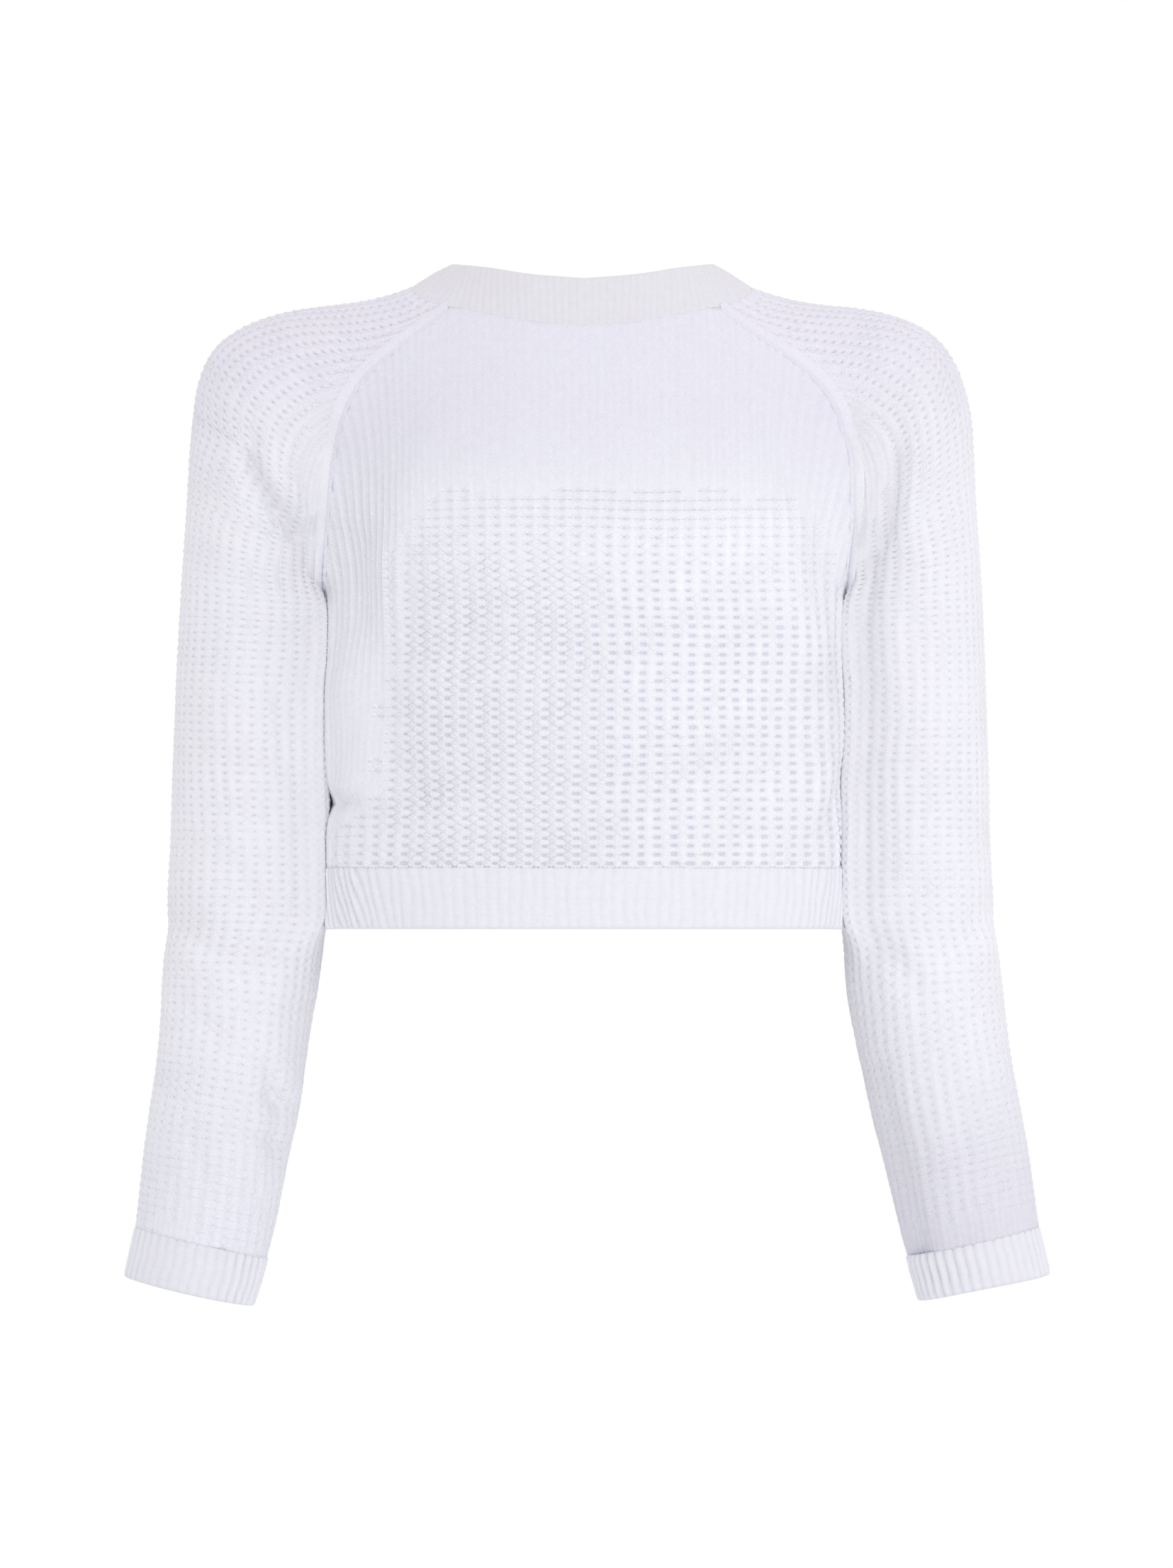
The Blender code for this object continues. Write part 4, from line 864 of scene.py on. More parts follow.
def settled(points):
    """The garment as it is seen: what stands nearer the camera is drawn in by as much as the
    perspective would spread it, so that it keeps its place in the view from the front."""
    x, y, z = points.T
    near = 0.5 * (y - np.sqrt(y * y + 0.0004)) + 0.01
    out = points.copy()
    tall = 0.55 + 0.45 * step(-0.50, -0.36, z)
    out[:, 0] += (x - 0.0014) * near / 3
    out[:, 2] += (z + 0.2664) * near / 3 * tall
    for x0, z0, wide, high, dx, dz in SHIFTS:
        share = np.exp(-(((x - x0) / wide) ** 2) - (((z - z0) / high) ** 2))
        out[:, 0] += share * dx
        out[:, 2] += share * dz
    for side in (-1, 1):
        for ahead in (-1, 1):
            seam = SEAMS[side, ahead < 0][0]
            order = np.argsort(seam[:, 2])
            at = np.interp(z, seam[order, 2], seam[order, 0])
            fill = np.interp(z, *GROOVE) * np.exp(-(((x - at) / 0.0080) ** 2))
            out[:, 1] += ahead * fill * step(0.004, 0.018, y * ahead)
    # Lower down the sleeves lie against the body's sides, and the notch between them is shallow.
    tall = step(-0.392, -0.340, z) * (1 - step(-0.172, -0.150, z))
    for ahead in (-1, 1):
        deep = 0.040 - y * ahead
        fill = 0.0125 * step(0.0, 0.021, deep) * (1 - step(0.021, 0.040, deep))
        wide = 1 - step(0.010, 0.017, np.abs(np.abs(x) - 0.1465))
        out[:, 1] += ahead * fill * wide * tall
    # The back of the neck is hidden behind the front from the camera.
    out[:, 2] -= 0.0026 * step(0.020, 0.060, y) * step(0.006, 0.020, z)
    return out


# How far the cloth bridges the groove along the raglan seams, by height.
GROOVE = (
    (-0.174, -0.163, -0.152, -0.136, -0.114, -0.090, -0.066),
    (0.0, 0.0040, 0.0100, 0.0085, 0.0055, 0.0030, 0.0),
)


class Shell:
    """Points, faces and per-point values gathered into one mesh."""

    def __init__(self):
        self.points, self.faces, self.uv, self.relief = [], [], [], []
        self.count = 0

    def add(self, points, faces, uv, relief):
        self.points.append(points)
        self.faces.append(faces + self.count)
        self.uv.append(uv)
        self.relief.append(relief)
        self.count += len(points)

    def mesh(self, name):
        points, faces = settled(np.concatenate(self.points)), np.concatenate(self.faces)
        uv, relief = np.concatenate(self.uv), np.concatenate(self.relief)
        mesh = bpy.data.meshes.new(name)
        mesh.vertices.add(len(points))
        mesh.vertices.foreach_set("co", points.astype(np.float32).ravel())
        mesh.loops.add(len(faces) * 3)
        mesh.loops.foreach_set("vertex_index", faces.astype(np.int32).ravel())
        mesh.polygons.add(len(faces))
        mesh.polygons.foreach_set("loop_start", np.arange(0, len(faces) * 3, 3, dtype=np.int32))
        mesh.polygons.foreach_set("loop_total", np.full(len(faces), 3, dtype=np.int32))
        mesh.update(calc_edges=True)
        mesh.validate()
        layer = mesh.uv_layers.new(name="stitch")
        layer.data.foreach_set("uv", uv[faces.ravel()].astype(np.float32).ravel())
        height = mesh.attributes.new("relief", "FLOAT", "POINT")
        height.data.foreach_set("value", relief.astype(np.float32))
        mesh.polygons.foreach_set("use_smooth", np.ones(len(mesh.polygons), dtype=bool))
        mesh.update()
        return mesh


def runs_of(values, at):
    """The running sum of values over at, from 0."""
    parts = 0.5 * (values[1:] + values[:-1]) * np.diff(at)
    return np.concatenate([[0], np.cumsum(parts)])


def volume_of(points, faces):
    a, b, c = (points[faces[:, k]] for k in range(3))
    return (a * np.cross(b, c)).sum() / 6


def closed_shell(points, faces, half, uv, relief):
    """Welds points that fell together, closes the border between the two skins and turns the
    faces outwards. Points come as all outer ones and then the inner partner of each."""
    key = np.round(points[:half] / 2e-5 + 0.317).astype(np.int64)
    _, first, index = np.unique(key, axis=0, return_index=True, return_inverse=True)
    index = index.reshape(-1)
    count = len(first)
    remap = np.concatenate([index, index + count])
    points = np.concatenate([points[first], points[first + half]])
    uv = np.concatenate([uv[first], uv[first + half]])
    relief = np.concatenate([relief[first], relief[first + half]])
    faces = remap[faces]
    a, b, c = faces.T
    faces = faces[(a != b) & (b != c) & (a != c)]
    _, where, times = np.unique(np.sort(faces, axis=1), axis=0, return_inverse=True, return_counts=True)
    faces = faces[times[where.reshape(-1)] == 1]
    ends = np.concatenate([faces[:, [0, 1]], faces[:, [1, 2]], faces[:, [2, 0]]])
    _, where, times = np.unique(np.sort(ends, axis=1), axis=0, return_inverse=True, return_counts=True)
    once = ends[times[where.reshape(-1)] == 1]
    once = once[(once < count).all(axis=1)]
    a, b = once[:, 0], once[:, 1]
    rim = np.concatenate([np.stack([b, a, a + count], 1), np.stack([b, a + count, b + count], 1)])
    faces = np.concatenate([faces, rim])
    used = np.unique(faces)
    place = np.full(len(points), -1)
    place[used] = np.arange(len(used))
    points, uv, relief, faces = points[used], uv[used], relief[used], place[faces]
    if volume_of(points, faces) < 0:
        faces = faces[:, ::-1]
    return points, faces, uv, relief


def knit(shell, cloth, pitch, rows, field, seed, deep=1.75, two_step=True, relief=1.0, spread=0.0):
    """Openwork rib knit over a base surface, from row 0 at its bottom to its last row on top.
    field(points, ways, s, v) gives, for places on the cloth, how open the eyelets are (0 to 1), how
    much the ribs dip between the rows (0 to 1), the size of the eyelets (about 1) and the height
    of the fine ribs where the knit is closed (about 1). The eyelets are deep mm deep: behind
    them lies the back of the double knit."""
    # Towards the sides the columns are drawn wider apart, by up to the share spread.
    far = np.linspace(0, max(-cloth.low.min(), cloth.high.max()) + 0.002, 400)
    counted = runs_of(1 / (pitch * (1 + spread * step(0.095, 0.165, far))), far)
    half_columns = int(math.ceil(counted[-1]))
    columns = 2 * half_columns
    rng = np.random.default_rng(seed)
    drift, sway, heights = Noise(seed, 9), Noise(seed + 1, 26), Noise(seed + 2, 14)
    ni, nj = columns + 1, rows + 1
    total = cloth.rise[-1] if cloth.front is None else (cloth.count - 1) * 0.004
    wobble = rng.normal(0, 0.00028, ni)

    def place(u, v):
        """(s, r) of places given in columns and rows."""
        a = u - half_columns
        s = np.sign(a) * np.interp(np.abs(a), counted, far, right=far[-1] + 0.01)
        s = s + np.interp(u, np.arange(ni), wobble)
        low, high = cloth.edges(row_of(v))
        calm = step(0.004, 0.03, np.minimum(s - low, high - s))
        level = step(0, 5, v) * (1 - step(rows - 14, rows - 6, v))
        s = s + calm * level * (0.0007 * sway(u, v) + 0.00022 * drift(u * 2, v))
        level = step(0, 4, v) * (1 - step(rows - 5, rows - 1, v))
        v = v + calm * level * (0.14 * sway(u + 40, v * 0.7) + 0.05 * drift(u, v))
        return s, row_of(v), v

    def row_of(v):
        share = np.clip(v / rows, 0, 1)
        if cloth.front is None:
            return np.interp(share * total, cloth.rise, np.arange(cloth.count))
        return share * (cloth.count - 1)

    def held(s, r):
        """The same kept inside the piece, with how far inside each lies."""
        low, high = cloth.edges(r)
        inside = np.minimum(s - low, high - s)
        s = np.clip(s, low, high)
        if cloth.front is not None:
            most = np.interp(s, *cloth.neck)
            inside = np.minimum(inside, (most - r) * 0.004)
            r = np.minimum(r, most)
            low, high = cloth.edges(r)
            s = np.clip(s, low, high)
        else:
            up = np.interp(r, np.arange(cloth.count), cloth.rise)
            inside = np.minimum(inside, cloth.rise[-1] - up + 1e-9)
        return s, r, inside

    grid_u, grid_v = np.meshgrid(np.arange(ni, dtype=float), np.arange(nj, dtype=float), indexing="ij")

    # The fields on the corner grid.
    s, r, v = place(grid_u.ravel(), grid_v.ravel())
    sh, rh, inside = held(s, r)
    p, n = cloth.at(sh, rh)
    opened, dips, size, ribs = (a.reshape(ni, nj) for a in field(p, n, sh, v))
    inside = inside.reshape(ni, nj)
    cell_in = np.stack([inside[:-1, :-1], inside[1:, :-1], inside[:-1, 1:], inside[1:, 1:]])
    used = (cell_in > 1e-7).any(axis=0)
    # A cell whose corners all lie past one edge may still be crossed by it lower or higher.
    open_share = 0.25 * (opened[:-1, :-1] + opened[1:, :-1] + opened[:-1, 1:] + opened[1:, 1:])
    dice = rng.random(open_share.shape)
    is_open = used & (cell_in.min(axis=0) > 0.0035) & (open_share > 0.20 + 0.16 * dice)
    opened = opened * step(0.003, 0.008, inside)

    # Shared points by kind: u, v and height over the base, on grids the size of the corner grid.
    def soft(a, seed2, amount):
        return a + np.random.default_rng(seed2).normal(0, amount, a.shape)

    open_right = np.minimum(opened, np.roll(opened, -1, axis=0))
    open_up = np.minimum(opened, np.roll(opened, -1, axis=1))
    kinds_u = [grid_u, grid_u, grid_u + 0.25 - 0.06 * open_right, grid_u + 0.5, grid_u + 0.75 + 0.06 * open_right]
    kinds_v = [grid_v, grid_v + 0.5, grid_v, grid_v, grid_v]
    lift = 0.12 * heights(grid_u, grid_v)
    fine = ribs * (1 - open_right)
    kinds_w = [
        (0.42 * ribs) * (1 - opened) + relief * (0.80 - 1.95 * dips) * opened + lift,
        (0.50 * ribs) * (1 - open_up) + 0.98 * relief * open_up + lift,
        -0.50 * fine + relief * (0.45 - 0.30 * dips) * open_right,
        0.34 * fine - 0.08 * relief * open_right + 0.5 * lift,
        -0.50 * fine + relief * (0.45 - 0.30 * dips) * open_right,
    ]
    free = (inside > 0.014) & (grid_v > 0.5) & (grid_v < rows - 2)
    kinds_v = [np.where(free, soft(a, seed + 20 + k, 0.025), a) for k, a in enumerate(kinds_v)]
    kinds_w = [soft(a, seed + 30 + k, 0.05) for k, a in enumerate(kinds_w)]
    per_kind = ni * nj
    all_u = [a.ravel() for a in kinds_u]
    all_v = [a.ravel() for a in kinds_v]
    all_w = [a.ravel() for a in kinds_w]
    inner_w = [np.full(per_kind, -deep - 0.9)] * 5

    def border_index(ci, cj):
        return np.stack([k * per_kind + (ci + di) * nj + cj + dj for k, di, dj in BORDER], axis=1)

    faces_outer, faces_inner = [], []
    start = 5 * per_kind
    # Open cells.
    ci, cj = np.nonzero(is_open)
    border = border_index(ci, cj)
    own = rng.normal(0, 1, (len(ci), 4))
    grow = 0.5 * (size[ci, cj] + size[ci + 1, cj + 1]) * (0.52 + 0.48 * step(0.2, 0.8, open_share[ci, cj]))
    wide = 0.262 * np.clip(grow * (1 + 0.10 * own[:, 0]), 0.35, 1.25)
    tall = 0.225 * np.clip(grow * (1 + 0.13 * own[:, 1]), 0.30, 1.35)
    flat = np.array([a for a, _ in RING]), np.array([b for _, b in RING])
    ring_u = ci[:, None] + 0.5 + 0.02 * own[:, 2:3] + wide[:, None] * flat[0]
    ring_v = cj[:, None] + 0.5 + 0.035 * own[:, 3:4] + tall[:, None] * flat[1]
    ring_w = relief * np.where(np.abs(flat[0]) == 1, -0.02, -0.36) + 0 * ring_u
    side_u = ci[:, None] + np.array([0.15, 0.85])
    side_v = cj[:, None] + np.array([0.5, 0.5])
    side_w = relief * 0.72 + 0.04 * own[:, :2]
    floor_w = -deep * (0.20 + 0.80 * np.clip(grow, 0, 1))[:, None]
    if two_step:
        pit_u = ci[:, None] + 0.5 + 0.02 * own[:, 2:3] + 0.70 * wide[:, None] * flat[0]
        pit_v = cj[:, None] + 0.5 + 0.035 * own[:, 3:4] + 0.66 * tall[:, None] * flat[1]
        pit_w = floor_w + 0 * pit_u
    else:
        pit_u = (ci + 0.5 + 0.02 * own[:, 2])[:, None]
        pit_v = (cj + 0.5 + 0.035 * own[:, 3])[:, None]
        pit_w = 1.25 * floor_w
    each = 10 + pit_u.shape[1]
    local = np.arange(each)[None, :] + each * np.arange(len(ci))[:, None] + start
    all_u.append(np.concatenate([side_u, ring_u, pit_u], axis=1).ravel())
    all_v.append(np.concatenate([side_v, ring_v, pit_v], axis=1).ravel())
    all_w.append(np.concatenate([side_w, ring_w, pit_w], axis=1).ravel())
    inner_w.append(np.full(each * len(ci), -deep - 0.9))
    outer_index = np.concatenate([border, local[:, :10]], axis=1)
    faces_outer.append(outer_index[:, OPEN_OUTER].reshape(-1, 3))
    faces_inner.append(border[:, CELL_INNER[:, ::-1]].reshape(-1, 3))
    edge, pit = local[:, 2:10], local[:, 10:]
    after = np.roll(edge, -1, axis=1)
    if two_step:
        pit_after = np.roll(pit, -1, axis=1)
        quad = [edge, after, pit_after, pit]
        a, b, c, d = (q.ravel() for q in quad)
        faces_outer += [np.stack([a, b, c], 1), np.stack([a, c, d], 1)]
        faces_outer.append(pit[:, FLOOR].reshape(-1, 3))
    else:
        middle = np.broadcast_to(pit, edge.shape)
        faces_outer.append(np.stack([edge.ravel(), after.ravel(), middle.ravel()], 1))
    start += each * len(ci)
    # Closed cells: a second, smaller rib between two fine valleys.
    ci, cj = np.nonzero(used & ~is_open)
    border = border_index(ci, cj)
    local = np.arange(3)[None, :] + 3 * np.arange(len(ci))[:, None] + start
    share = open_share[ci, cj][:, None]
    all_u.append((ci[:, None] + np.array([0.25, 0.5, 0.75])).ravel())
    all_v.append((cj[:, None] + np.array([0.5, 0.5, 0.5])).ravel())
    rib = 0.5 * (ribs[ci, cj] + ribs[ci + 1, cj + 1])[:, None]
    dent = rib * np.array([-0.55, 0.40, -0.55]) + share * np.array([0.35, -0.95, 0.35])
    all_w.append((dent + rng.normal(0, 0.05, (len(ci), 3))).ravel())
    inner_w.append(np.full(3 * len(ci), -deep - 0.9))
    faces_outer.append(np.concatenate([border, local], axis=1)[:, CLOSED_OUTER].reshape(-1, 3))
    faces_inner.append(border[:, CELL_INNER[:, ::-1]].reshape(-1, 3))

    u, v, w = np.concatenate(all_u), np.concatenate(all_v), np.concatenate(all_w)
    w_in = np.concatenate(inner_w)
    half = len(u)
    faces = np.concatenate(faces_outer + [f + half for f in faces_inner])
    s, r, _ = place(u, v)
    s, r, inside = held(s, r)
    p, n = cloth.at(s, r)
    fade = step(0.0, 0.0032, inside)
    w = w * fade - 0.30 * (1 - fade)
    outer = p + n * w[:, None] * 1e-3
    inner = p + n * w_in[:, None] * 1e-3
    points = np.concatenate([outer, inner])
    uv = np.tile(np.stack([u, v], axis=1), (2, 1))
    relief = np.concatenate([w, w_in])
    shell.add(*closed_shell(points, faces, half, uv, relief))
    return is_open.sum(), (used & ~is_open).sum()


# ---------------------------------------------------------------- ribbed bands and seam ridges
def band_profile(rows, inner_rows, wall, high, sewn, over=1.2):
    """The outline of a band's section, as (share of its height, depth in mm, share of the rib's
    relief): up the outside, over its top edge, down the inside and round below. The edge that is
    sewn on, the top or the low one, is square and reaches over the seam. high and over are in
    mm."""
    over = over / high
    low, top = (0.004, 0.965) if sewn == "low" else (0.035, 0.996)
    out = [(low + (top - low) * k / (rows - 1), 0.0, 1.0) for k in range(rows)]
    if sewn == "top":
        out += [(1 + over, -0.42, 0.30), (1 + over, -0.50 * wall, 0), (1.0, -0.86 * wall, 0)]
    else:
        out += [(0.988, -0.18 * wall, 0.8), (1.0, -0.45 * wall, 0.35), (0.99, -0.78 * wall, 0.1)]
    out += [(0.955 - 0.91 * k / (inner_rows - 1), -wall, 0.0) for k in range(inner_rows)]
    if sewn == "low":
        out += [(0.0, -0.86 * wall, 0), (-over, -0.50 * wall, 0), (-over, -0.42, 0.30)]
    else:
        out += [(0.01, -0.78 * wall, 0.1), (0.0, -0.45 * wall, 0.35), (0.012, -0.18 * wall, 0.8)]
    return np.array(out)


def rib_shape(phase):
    """Height across a rib, from -1 in the fine valleys between ribs to 1 on top of it."""
    return 1 - 2 * np.abs(2 * (phase % 1) - 1) ** 2.3


def band(shell, base, ways, profile, ribs, relief, stitches, seed, closed, per_rib=6, warp=None):
    """A thick band of rib knit. base and ways are (heights, places round, 3) and are read at any
    height and place. ribs is the number of ribs round it, and stitches that of rows up it."""
    rng = np.random.default_rng(seed)
    columns = ribs * per_rib + (0 if closed else 1)
    round_share = np.arange(columns) / (ribs * per_rib)
    if not closed:
        round_share = np.linspace(0, 1, columns)
    length = runs(base)
    mid = length[len(base) // 2] / length[len(base) // 2, -1]
    index = np.interp(round_share, mid, np.arange(base.shape[1]))
    i = np.minimum(index.astype(int), base.shape[1] - 2)
    f = (index - i)[None, :, None]
    t = profile[:, 0] * (len(base) - 1)
    j = np.minimum(t.astype(int), len(base) - 2)
    g = (t - j)[:, None, None]

    def at(grid):
        low = grid[j][:, i] * (1 - f) + grid[j][:, i + 1] * f
        high = grid[j + 1][:, i] * (1 - f) + grid[j + 1][:, i + 1] * f
        return low * (1 - g) + high * g

    point, way = at(base), unit(at(ways))
    phase = round_share * ribs
    uneven = np.repeat(rng.normal(1, 0.10, ribs + 1), per_rib)[:columns]
    phases = phase[None, :] + (0 if warp is None else warp(round_share[None, :], profile[:, :1]))
    if callable(relief):
        relief = relief(round_share)[None, :]
    height = rib_shape(phases) * relief * uneven[None, :]
    rows = profile[:, :1] * stitches
    height = height + 0.10 * np.cos(2 * math.pi * rows) * (rib_shape(phases) > 0)
    height = height + rng.normal(0, 0.03, height.shape)
    w = profile[:, 1:2] + height * profile[:, 2:3]
    points = point + way * (w * 1e-3)[:, :, None]
    count = len(profile)
    index = np.arange(count * columns).reshape(count, columns)
    nxt = np.roll(index, -1, axis=0)
    if closed:
        a, b, c, d = index, np.roll(index, -1, axis=1), np.roll(nxt, -1, axis=1), nxt
    else:
        a, b, c, d = index[:, :-1], index[:, 1:], nxt[:, 1:], nxt[:, :-1]
    a, b, c, d = (k.ravel() for k in (a, b, c, d))
    faces = np.concatenate([np.stack([a, b, c], 1), np.stack([a, c, d], 1)])
    points = points.reshape(-1, 3)
    uv = np.stack([np.broadcast_to(phases, w.shape), np.broadcast_to(rows, w.shape)], 2).reshape(-1, 2)
    # Painted shade: where the band has no rib relief, on its inside and at its sewn edge, the colour is pushed
    # towards that of the valleys.
    relief_value = (height * profile[:, 2:3] - 0.8 * (profile[:, 2:3] < 0.05)).ravel()
    if not closed:
        for end, flip in ((0, False), (columns - 1, True)):
            loop = index[:, end]
            centre = len(points)
            points = np.concatenate([points, points[loop].mean(axis=0, keepdims=True)])
            uv = np.concatenate([uv, uv[loop].mean(axis=0, keepdims=True)])
            relief_value = np.append(relief_value, -0.5)
            fan = np.stack([loop, np.roll(loop, -1), np.full(count, centre)], 1)
            faces = np.concatenate([faces, fan[:, ::-1] if flip else fan])
    if volume_of(points, faces) < 0:
        faces = faces[:, ::-1]
    shell.add(points, faces, uv, relief_value)
    return columns


def ridge(shell, points, ways, inward, at_mm, half_mm, high_mm, bead_mm, beads, seed, base_mm=-0.5):
    """A selvedge rib that runs along a seam: a flat tube, at_mm inside the seam, with a bead at
    each knitted row. beads is how deep the notches between them are, from 0 to 1."""
    length = runs(points)
    count = int(length[-1] / (bead_mm / 4 * 1e-3)) + 1
    at = np.linspace(0, length[-1], count)
    c = np.stack([np.interp(at, length, points[:, k]) for k in range(3)], axis=1)
    n = unit(np.stack([np.interp(at, length, ways[:, k]) for k in range(3)], axis=1))
    side = unit(np.stack([np.interp(at, length, inward[:, k]) for k in range(3)], axis=1))
    rng = np.random.default_rng(seed)
    phase = at / (bead_mm * 1e-3)
    bump = np.abs(np.sin(math.pi * phase)) ** 0.7
    swell = 1 - beads * (1 - bump)
    ends = np.sqrt(np.clip(np.minimum(np.arange(count), np.arange(count)[::-1]) / 3, 0.15, 1))
    swell = swell * ends
    uneven = 1 + 0.05 * rng.normal(size=count)
    turn = np.linspace(0, 2 * math.pi, 11)[:-1]
    flat = np.abs(np.cos(turn)) ** 0.8 * np.sign(np.cos(turn))
    across = at_mm + half_mm * (0.55 + 0.45 * swell * uneven)[:, None] * flat
    lift = base_mm + high_mm * swell[:, None] * uneven[:, None] * np.where(
        np.sin(turn) > 0, np.sin(turn), 0.7 * np.sin(turn)
    )
    ring = c[:, None] + (side[:, None] * across[..., None] + n[:, None] * lift[..., None]) * 1e-3
    index = np.arange(count * 10).reshape(count, 10)
    a, b = index[:-1], np.roll(index[:-1], -1, axis=1)
    c2, d = np.roll(index[1:], -1, axis=1), index[1:]
    a, b, c2, d = (k.ravel() for k in (a, b, c2, d))
    faces = np.concatenate([np.stack([a, b, c2], 1), np.stack([a, c2, d], 1)])
    caps = [[index[0, 0], index[0, k + 1], index[0, k]] for k in range(1, 9)]
    caps += [[index[-1, 0], index[-1, k], index[-1, k + 1]] for k in range(1, 9)]
    faces = np.concatenate([faces, np.array(caps)])
    ring = ring.reshape(-1, 3)
    if volume_of(ring, faces) < 0:
        faces = faces[:, ::-1]
    uv = np.stack(np.broadcast_arrays(0.3 * np.cos(turn)[None, :], phase[:, None]), 2).reshape(-1, 2)
    shell.add(ring, faces, uv, (lift * 0.6 - 0.35 + 0 * across).ravel())


def seam_frame(cloth, rows, low_side):
    """Along an edge of a cloth: its points, the ways out and the ways into the piece."""
    low, high = cloth.edges(rows)
    s = low if low_side else high
    p, n = cloth.at(s, rows)
    near, _ = cloth.at(s + (0.004 if low_side else -0.004), rows)
    run = unit(np.gradient(p, axis=0))
    side = unit(np.cross(n, run))
    side *= np.sign((side * (near - p)).sum(axis=1, keepdims=True))
    return p, n, side


# ---------------------------------------------------------------- materials
def knit_material(
    name, tint, valley_shade, ply=1.0, seed=0.0, top=(0.935, 0.915, 0.952), levels=(-0.115, -0.010),
    low=(1.0, 1.0, 1.0),
):  # fmt: skip
    """White cotton-like yarn: its plies and fibres as bump, soft sheen, and colour that varies softly from
    place to place. Painted shade goes into that colour: greyer in the valleys of the knit (by the
    height over the cloth), deeper higher up by top and deeper towards the bottom by low."""
    material = bpy.data.materials.new(name)
    material.use_nodes = True
    tree = material.node_tree
    nodes, links = tree.nodes, tree.links
    shader = nodes["Principled BSDF"]
    shader.inputs["Roughness"].default_value = 0.86
    shader.inputs["Metallic"].default_value = 0.0
    shader.inputs["IOR"].default_value = 1.42
    shader.inputs["Specular IOR Level"].default_value = 0.22
    shader.inputs["Sheen Weight"].default_value = 0.28
    shader.inputs["Sheen Roughness"].default_value = 0.55
    shader.inputs["Sheen Tint"].default_value = (1.0, 0.99, 1.0, 1)

    def node(kind, **values):
        made = nodes.new(kind)
        for key, value in values.items():
            setattr(made, key, value)
        return made

    def maths(operation, a, b=None, clamp=False):
        made = node("ShaderNodeMath", operation=operation, use_clamp=clamp)
        for k, value in enumerate((a, b)):
            if value is None:
                continue
            if isinstance(value, (int, float)):
                made.inputs[k].default_value = value
            else:
                links.new(value, made.inputs[k])
        return made.outputs[0]

    coords = node("ShaderNodeTexCoord")
    stitch = node("ShaderNodeUVMap", uv_map="stitch")
    relief = node("ShaderNodeAttribute", attribute_name="relief")
    moved = node("ShaderNodeMapping")
    moved.inputs["Location"].default_value = (seed, seed * 0.7, 0)
    links.new(coords.outputs["Object"], moved.inputs["Vector"])

    # Colour: painted shade, lighter on the ribs and a little greyer in the valleys; mottled very softly.
    ramp = node("ShaderNodeMapRange")
    ramp.inputs["From Min"].default_value = -1.3
    ramp.inputs["From Max"].default_value = 1.0
    links.new(relief.outputs["Fac"], ramp.inputs["Value"])
    mix = node("ShaderNodeMix", data_type="RGBA")
    mix.inputs["A"].default_value = (*valley_shade, 1)
    mix.inputs["B"].default_value = (*tint, 1)
    links.new(ramp.outputs["Result"], mix.inputs["Factor"])
    cloud = node("ShaderNodeTexNoise")
    cloud.inputs["Scale"].default_value = 17.0
    cloud.inputs["Detail"].default_value = 3.0
    links.new(moved.outputs["Vector"], cloud.inputs["Vector"])
    speck = node("ShaderNodeTexNoise")
    speck.inputs["Scale"].default_value = 260.0
    speck.inputs["Detail"].default_value = 2.0
    links.new(moved.outputs["Vector"], speck.inputs["Vector"])
    shade = maths("MULTIPLY_ADD", cloud.outputs["Fac"], 0.055)
    shade.node.inputs[2].default_value = 0.972
    grain = maths("MULTIPLY_ADD", speck.outputs["Fac"], 0.07)
    grain.node.inputs[2].default_value = 0.965
    value = maths("MULTIPLY", shade, grain)
    hue = node("ShaderNodeMix", data_type="RGBA")
    hue.inputs["A"].default_value = (1.0, 0.992, 0.985, 1)
    hue.inputs["B"].default_value = (0.985, 0.990, 1.0, 1)
    links.new(cloud.outputs["Fac"], hue.inputs["Factor"])
    tinted = node("ShaderNodeMix", data_type="RGBA", blend_type="MULTIPLY")
    tinted.inputs["Factor"].default_value = 1.0
    links.new(mix.outputs["Result"], tinted.inputs["A"])
    links.new(hue.outputs["Result"], tinted.inputs["B"])
    # Painted shade: the colour is a touch deeper higher up, at the shoulders, the neck and the top of the body
    # panels.
    place = node("ShaderNodeSeparateXYZ")
    links.new(coords.outputs["Object"], place.inputs["Vector"])
    height = node("ShaderNodeMapRange", interpolation_type="SMOOTHSTEP")
    height.inputs["From Min"].default_value = levels[0]
    height.inputs["From Max"].default_value = levels[1]
    links.new(place.outputs["Z"], height.inputs["Value"])
    upper_shade = node("ShaderNodeMix", data_type="RGBA", blend_type="MULTIPLY")
    upper_shade.inputs["B"].default_value = (*top, 1)
    links.new(height.outputs["Result"], upper_shade.inputs["Factor"])
    links.new(tinted.outputs["Result"], upper_shade.inputs["A"])
    # Painted shade: the colour is deeper towards the bottom, by low.
    depth = node("ShaderNodeMapRange", interpolation_type="SMOOTHSTEP")
    depth.inputs["From Min"].default_value = -0.37
    depth.inputs["From Max"].default_value = -0.53
    links.new(place.outputs["Z"], depth.inputs["Value"])
    lower = node("ShaderNodeMix", data_type="RGBA", blend_type="MULTIPLY")
    lower.inputs["B"].default_value = (*low, 1)
    links.new(depth.outputs["Result"], lower.inputs["Factor"])
    links.new(upper_shade.outputs["Result"], lower.inputs["A"])
    bright = node("ShaderNodeVectorMath", operation="SCALE")
    links.new(lower.outputs["Result"], bright.inputs[0])
    links.new(value, bright.inputs["Scale"])
    links.new(bright.outputs["Vector"], shader.inputs["Base Color"])

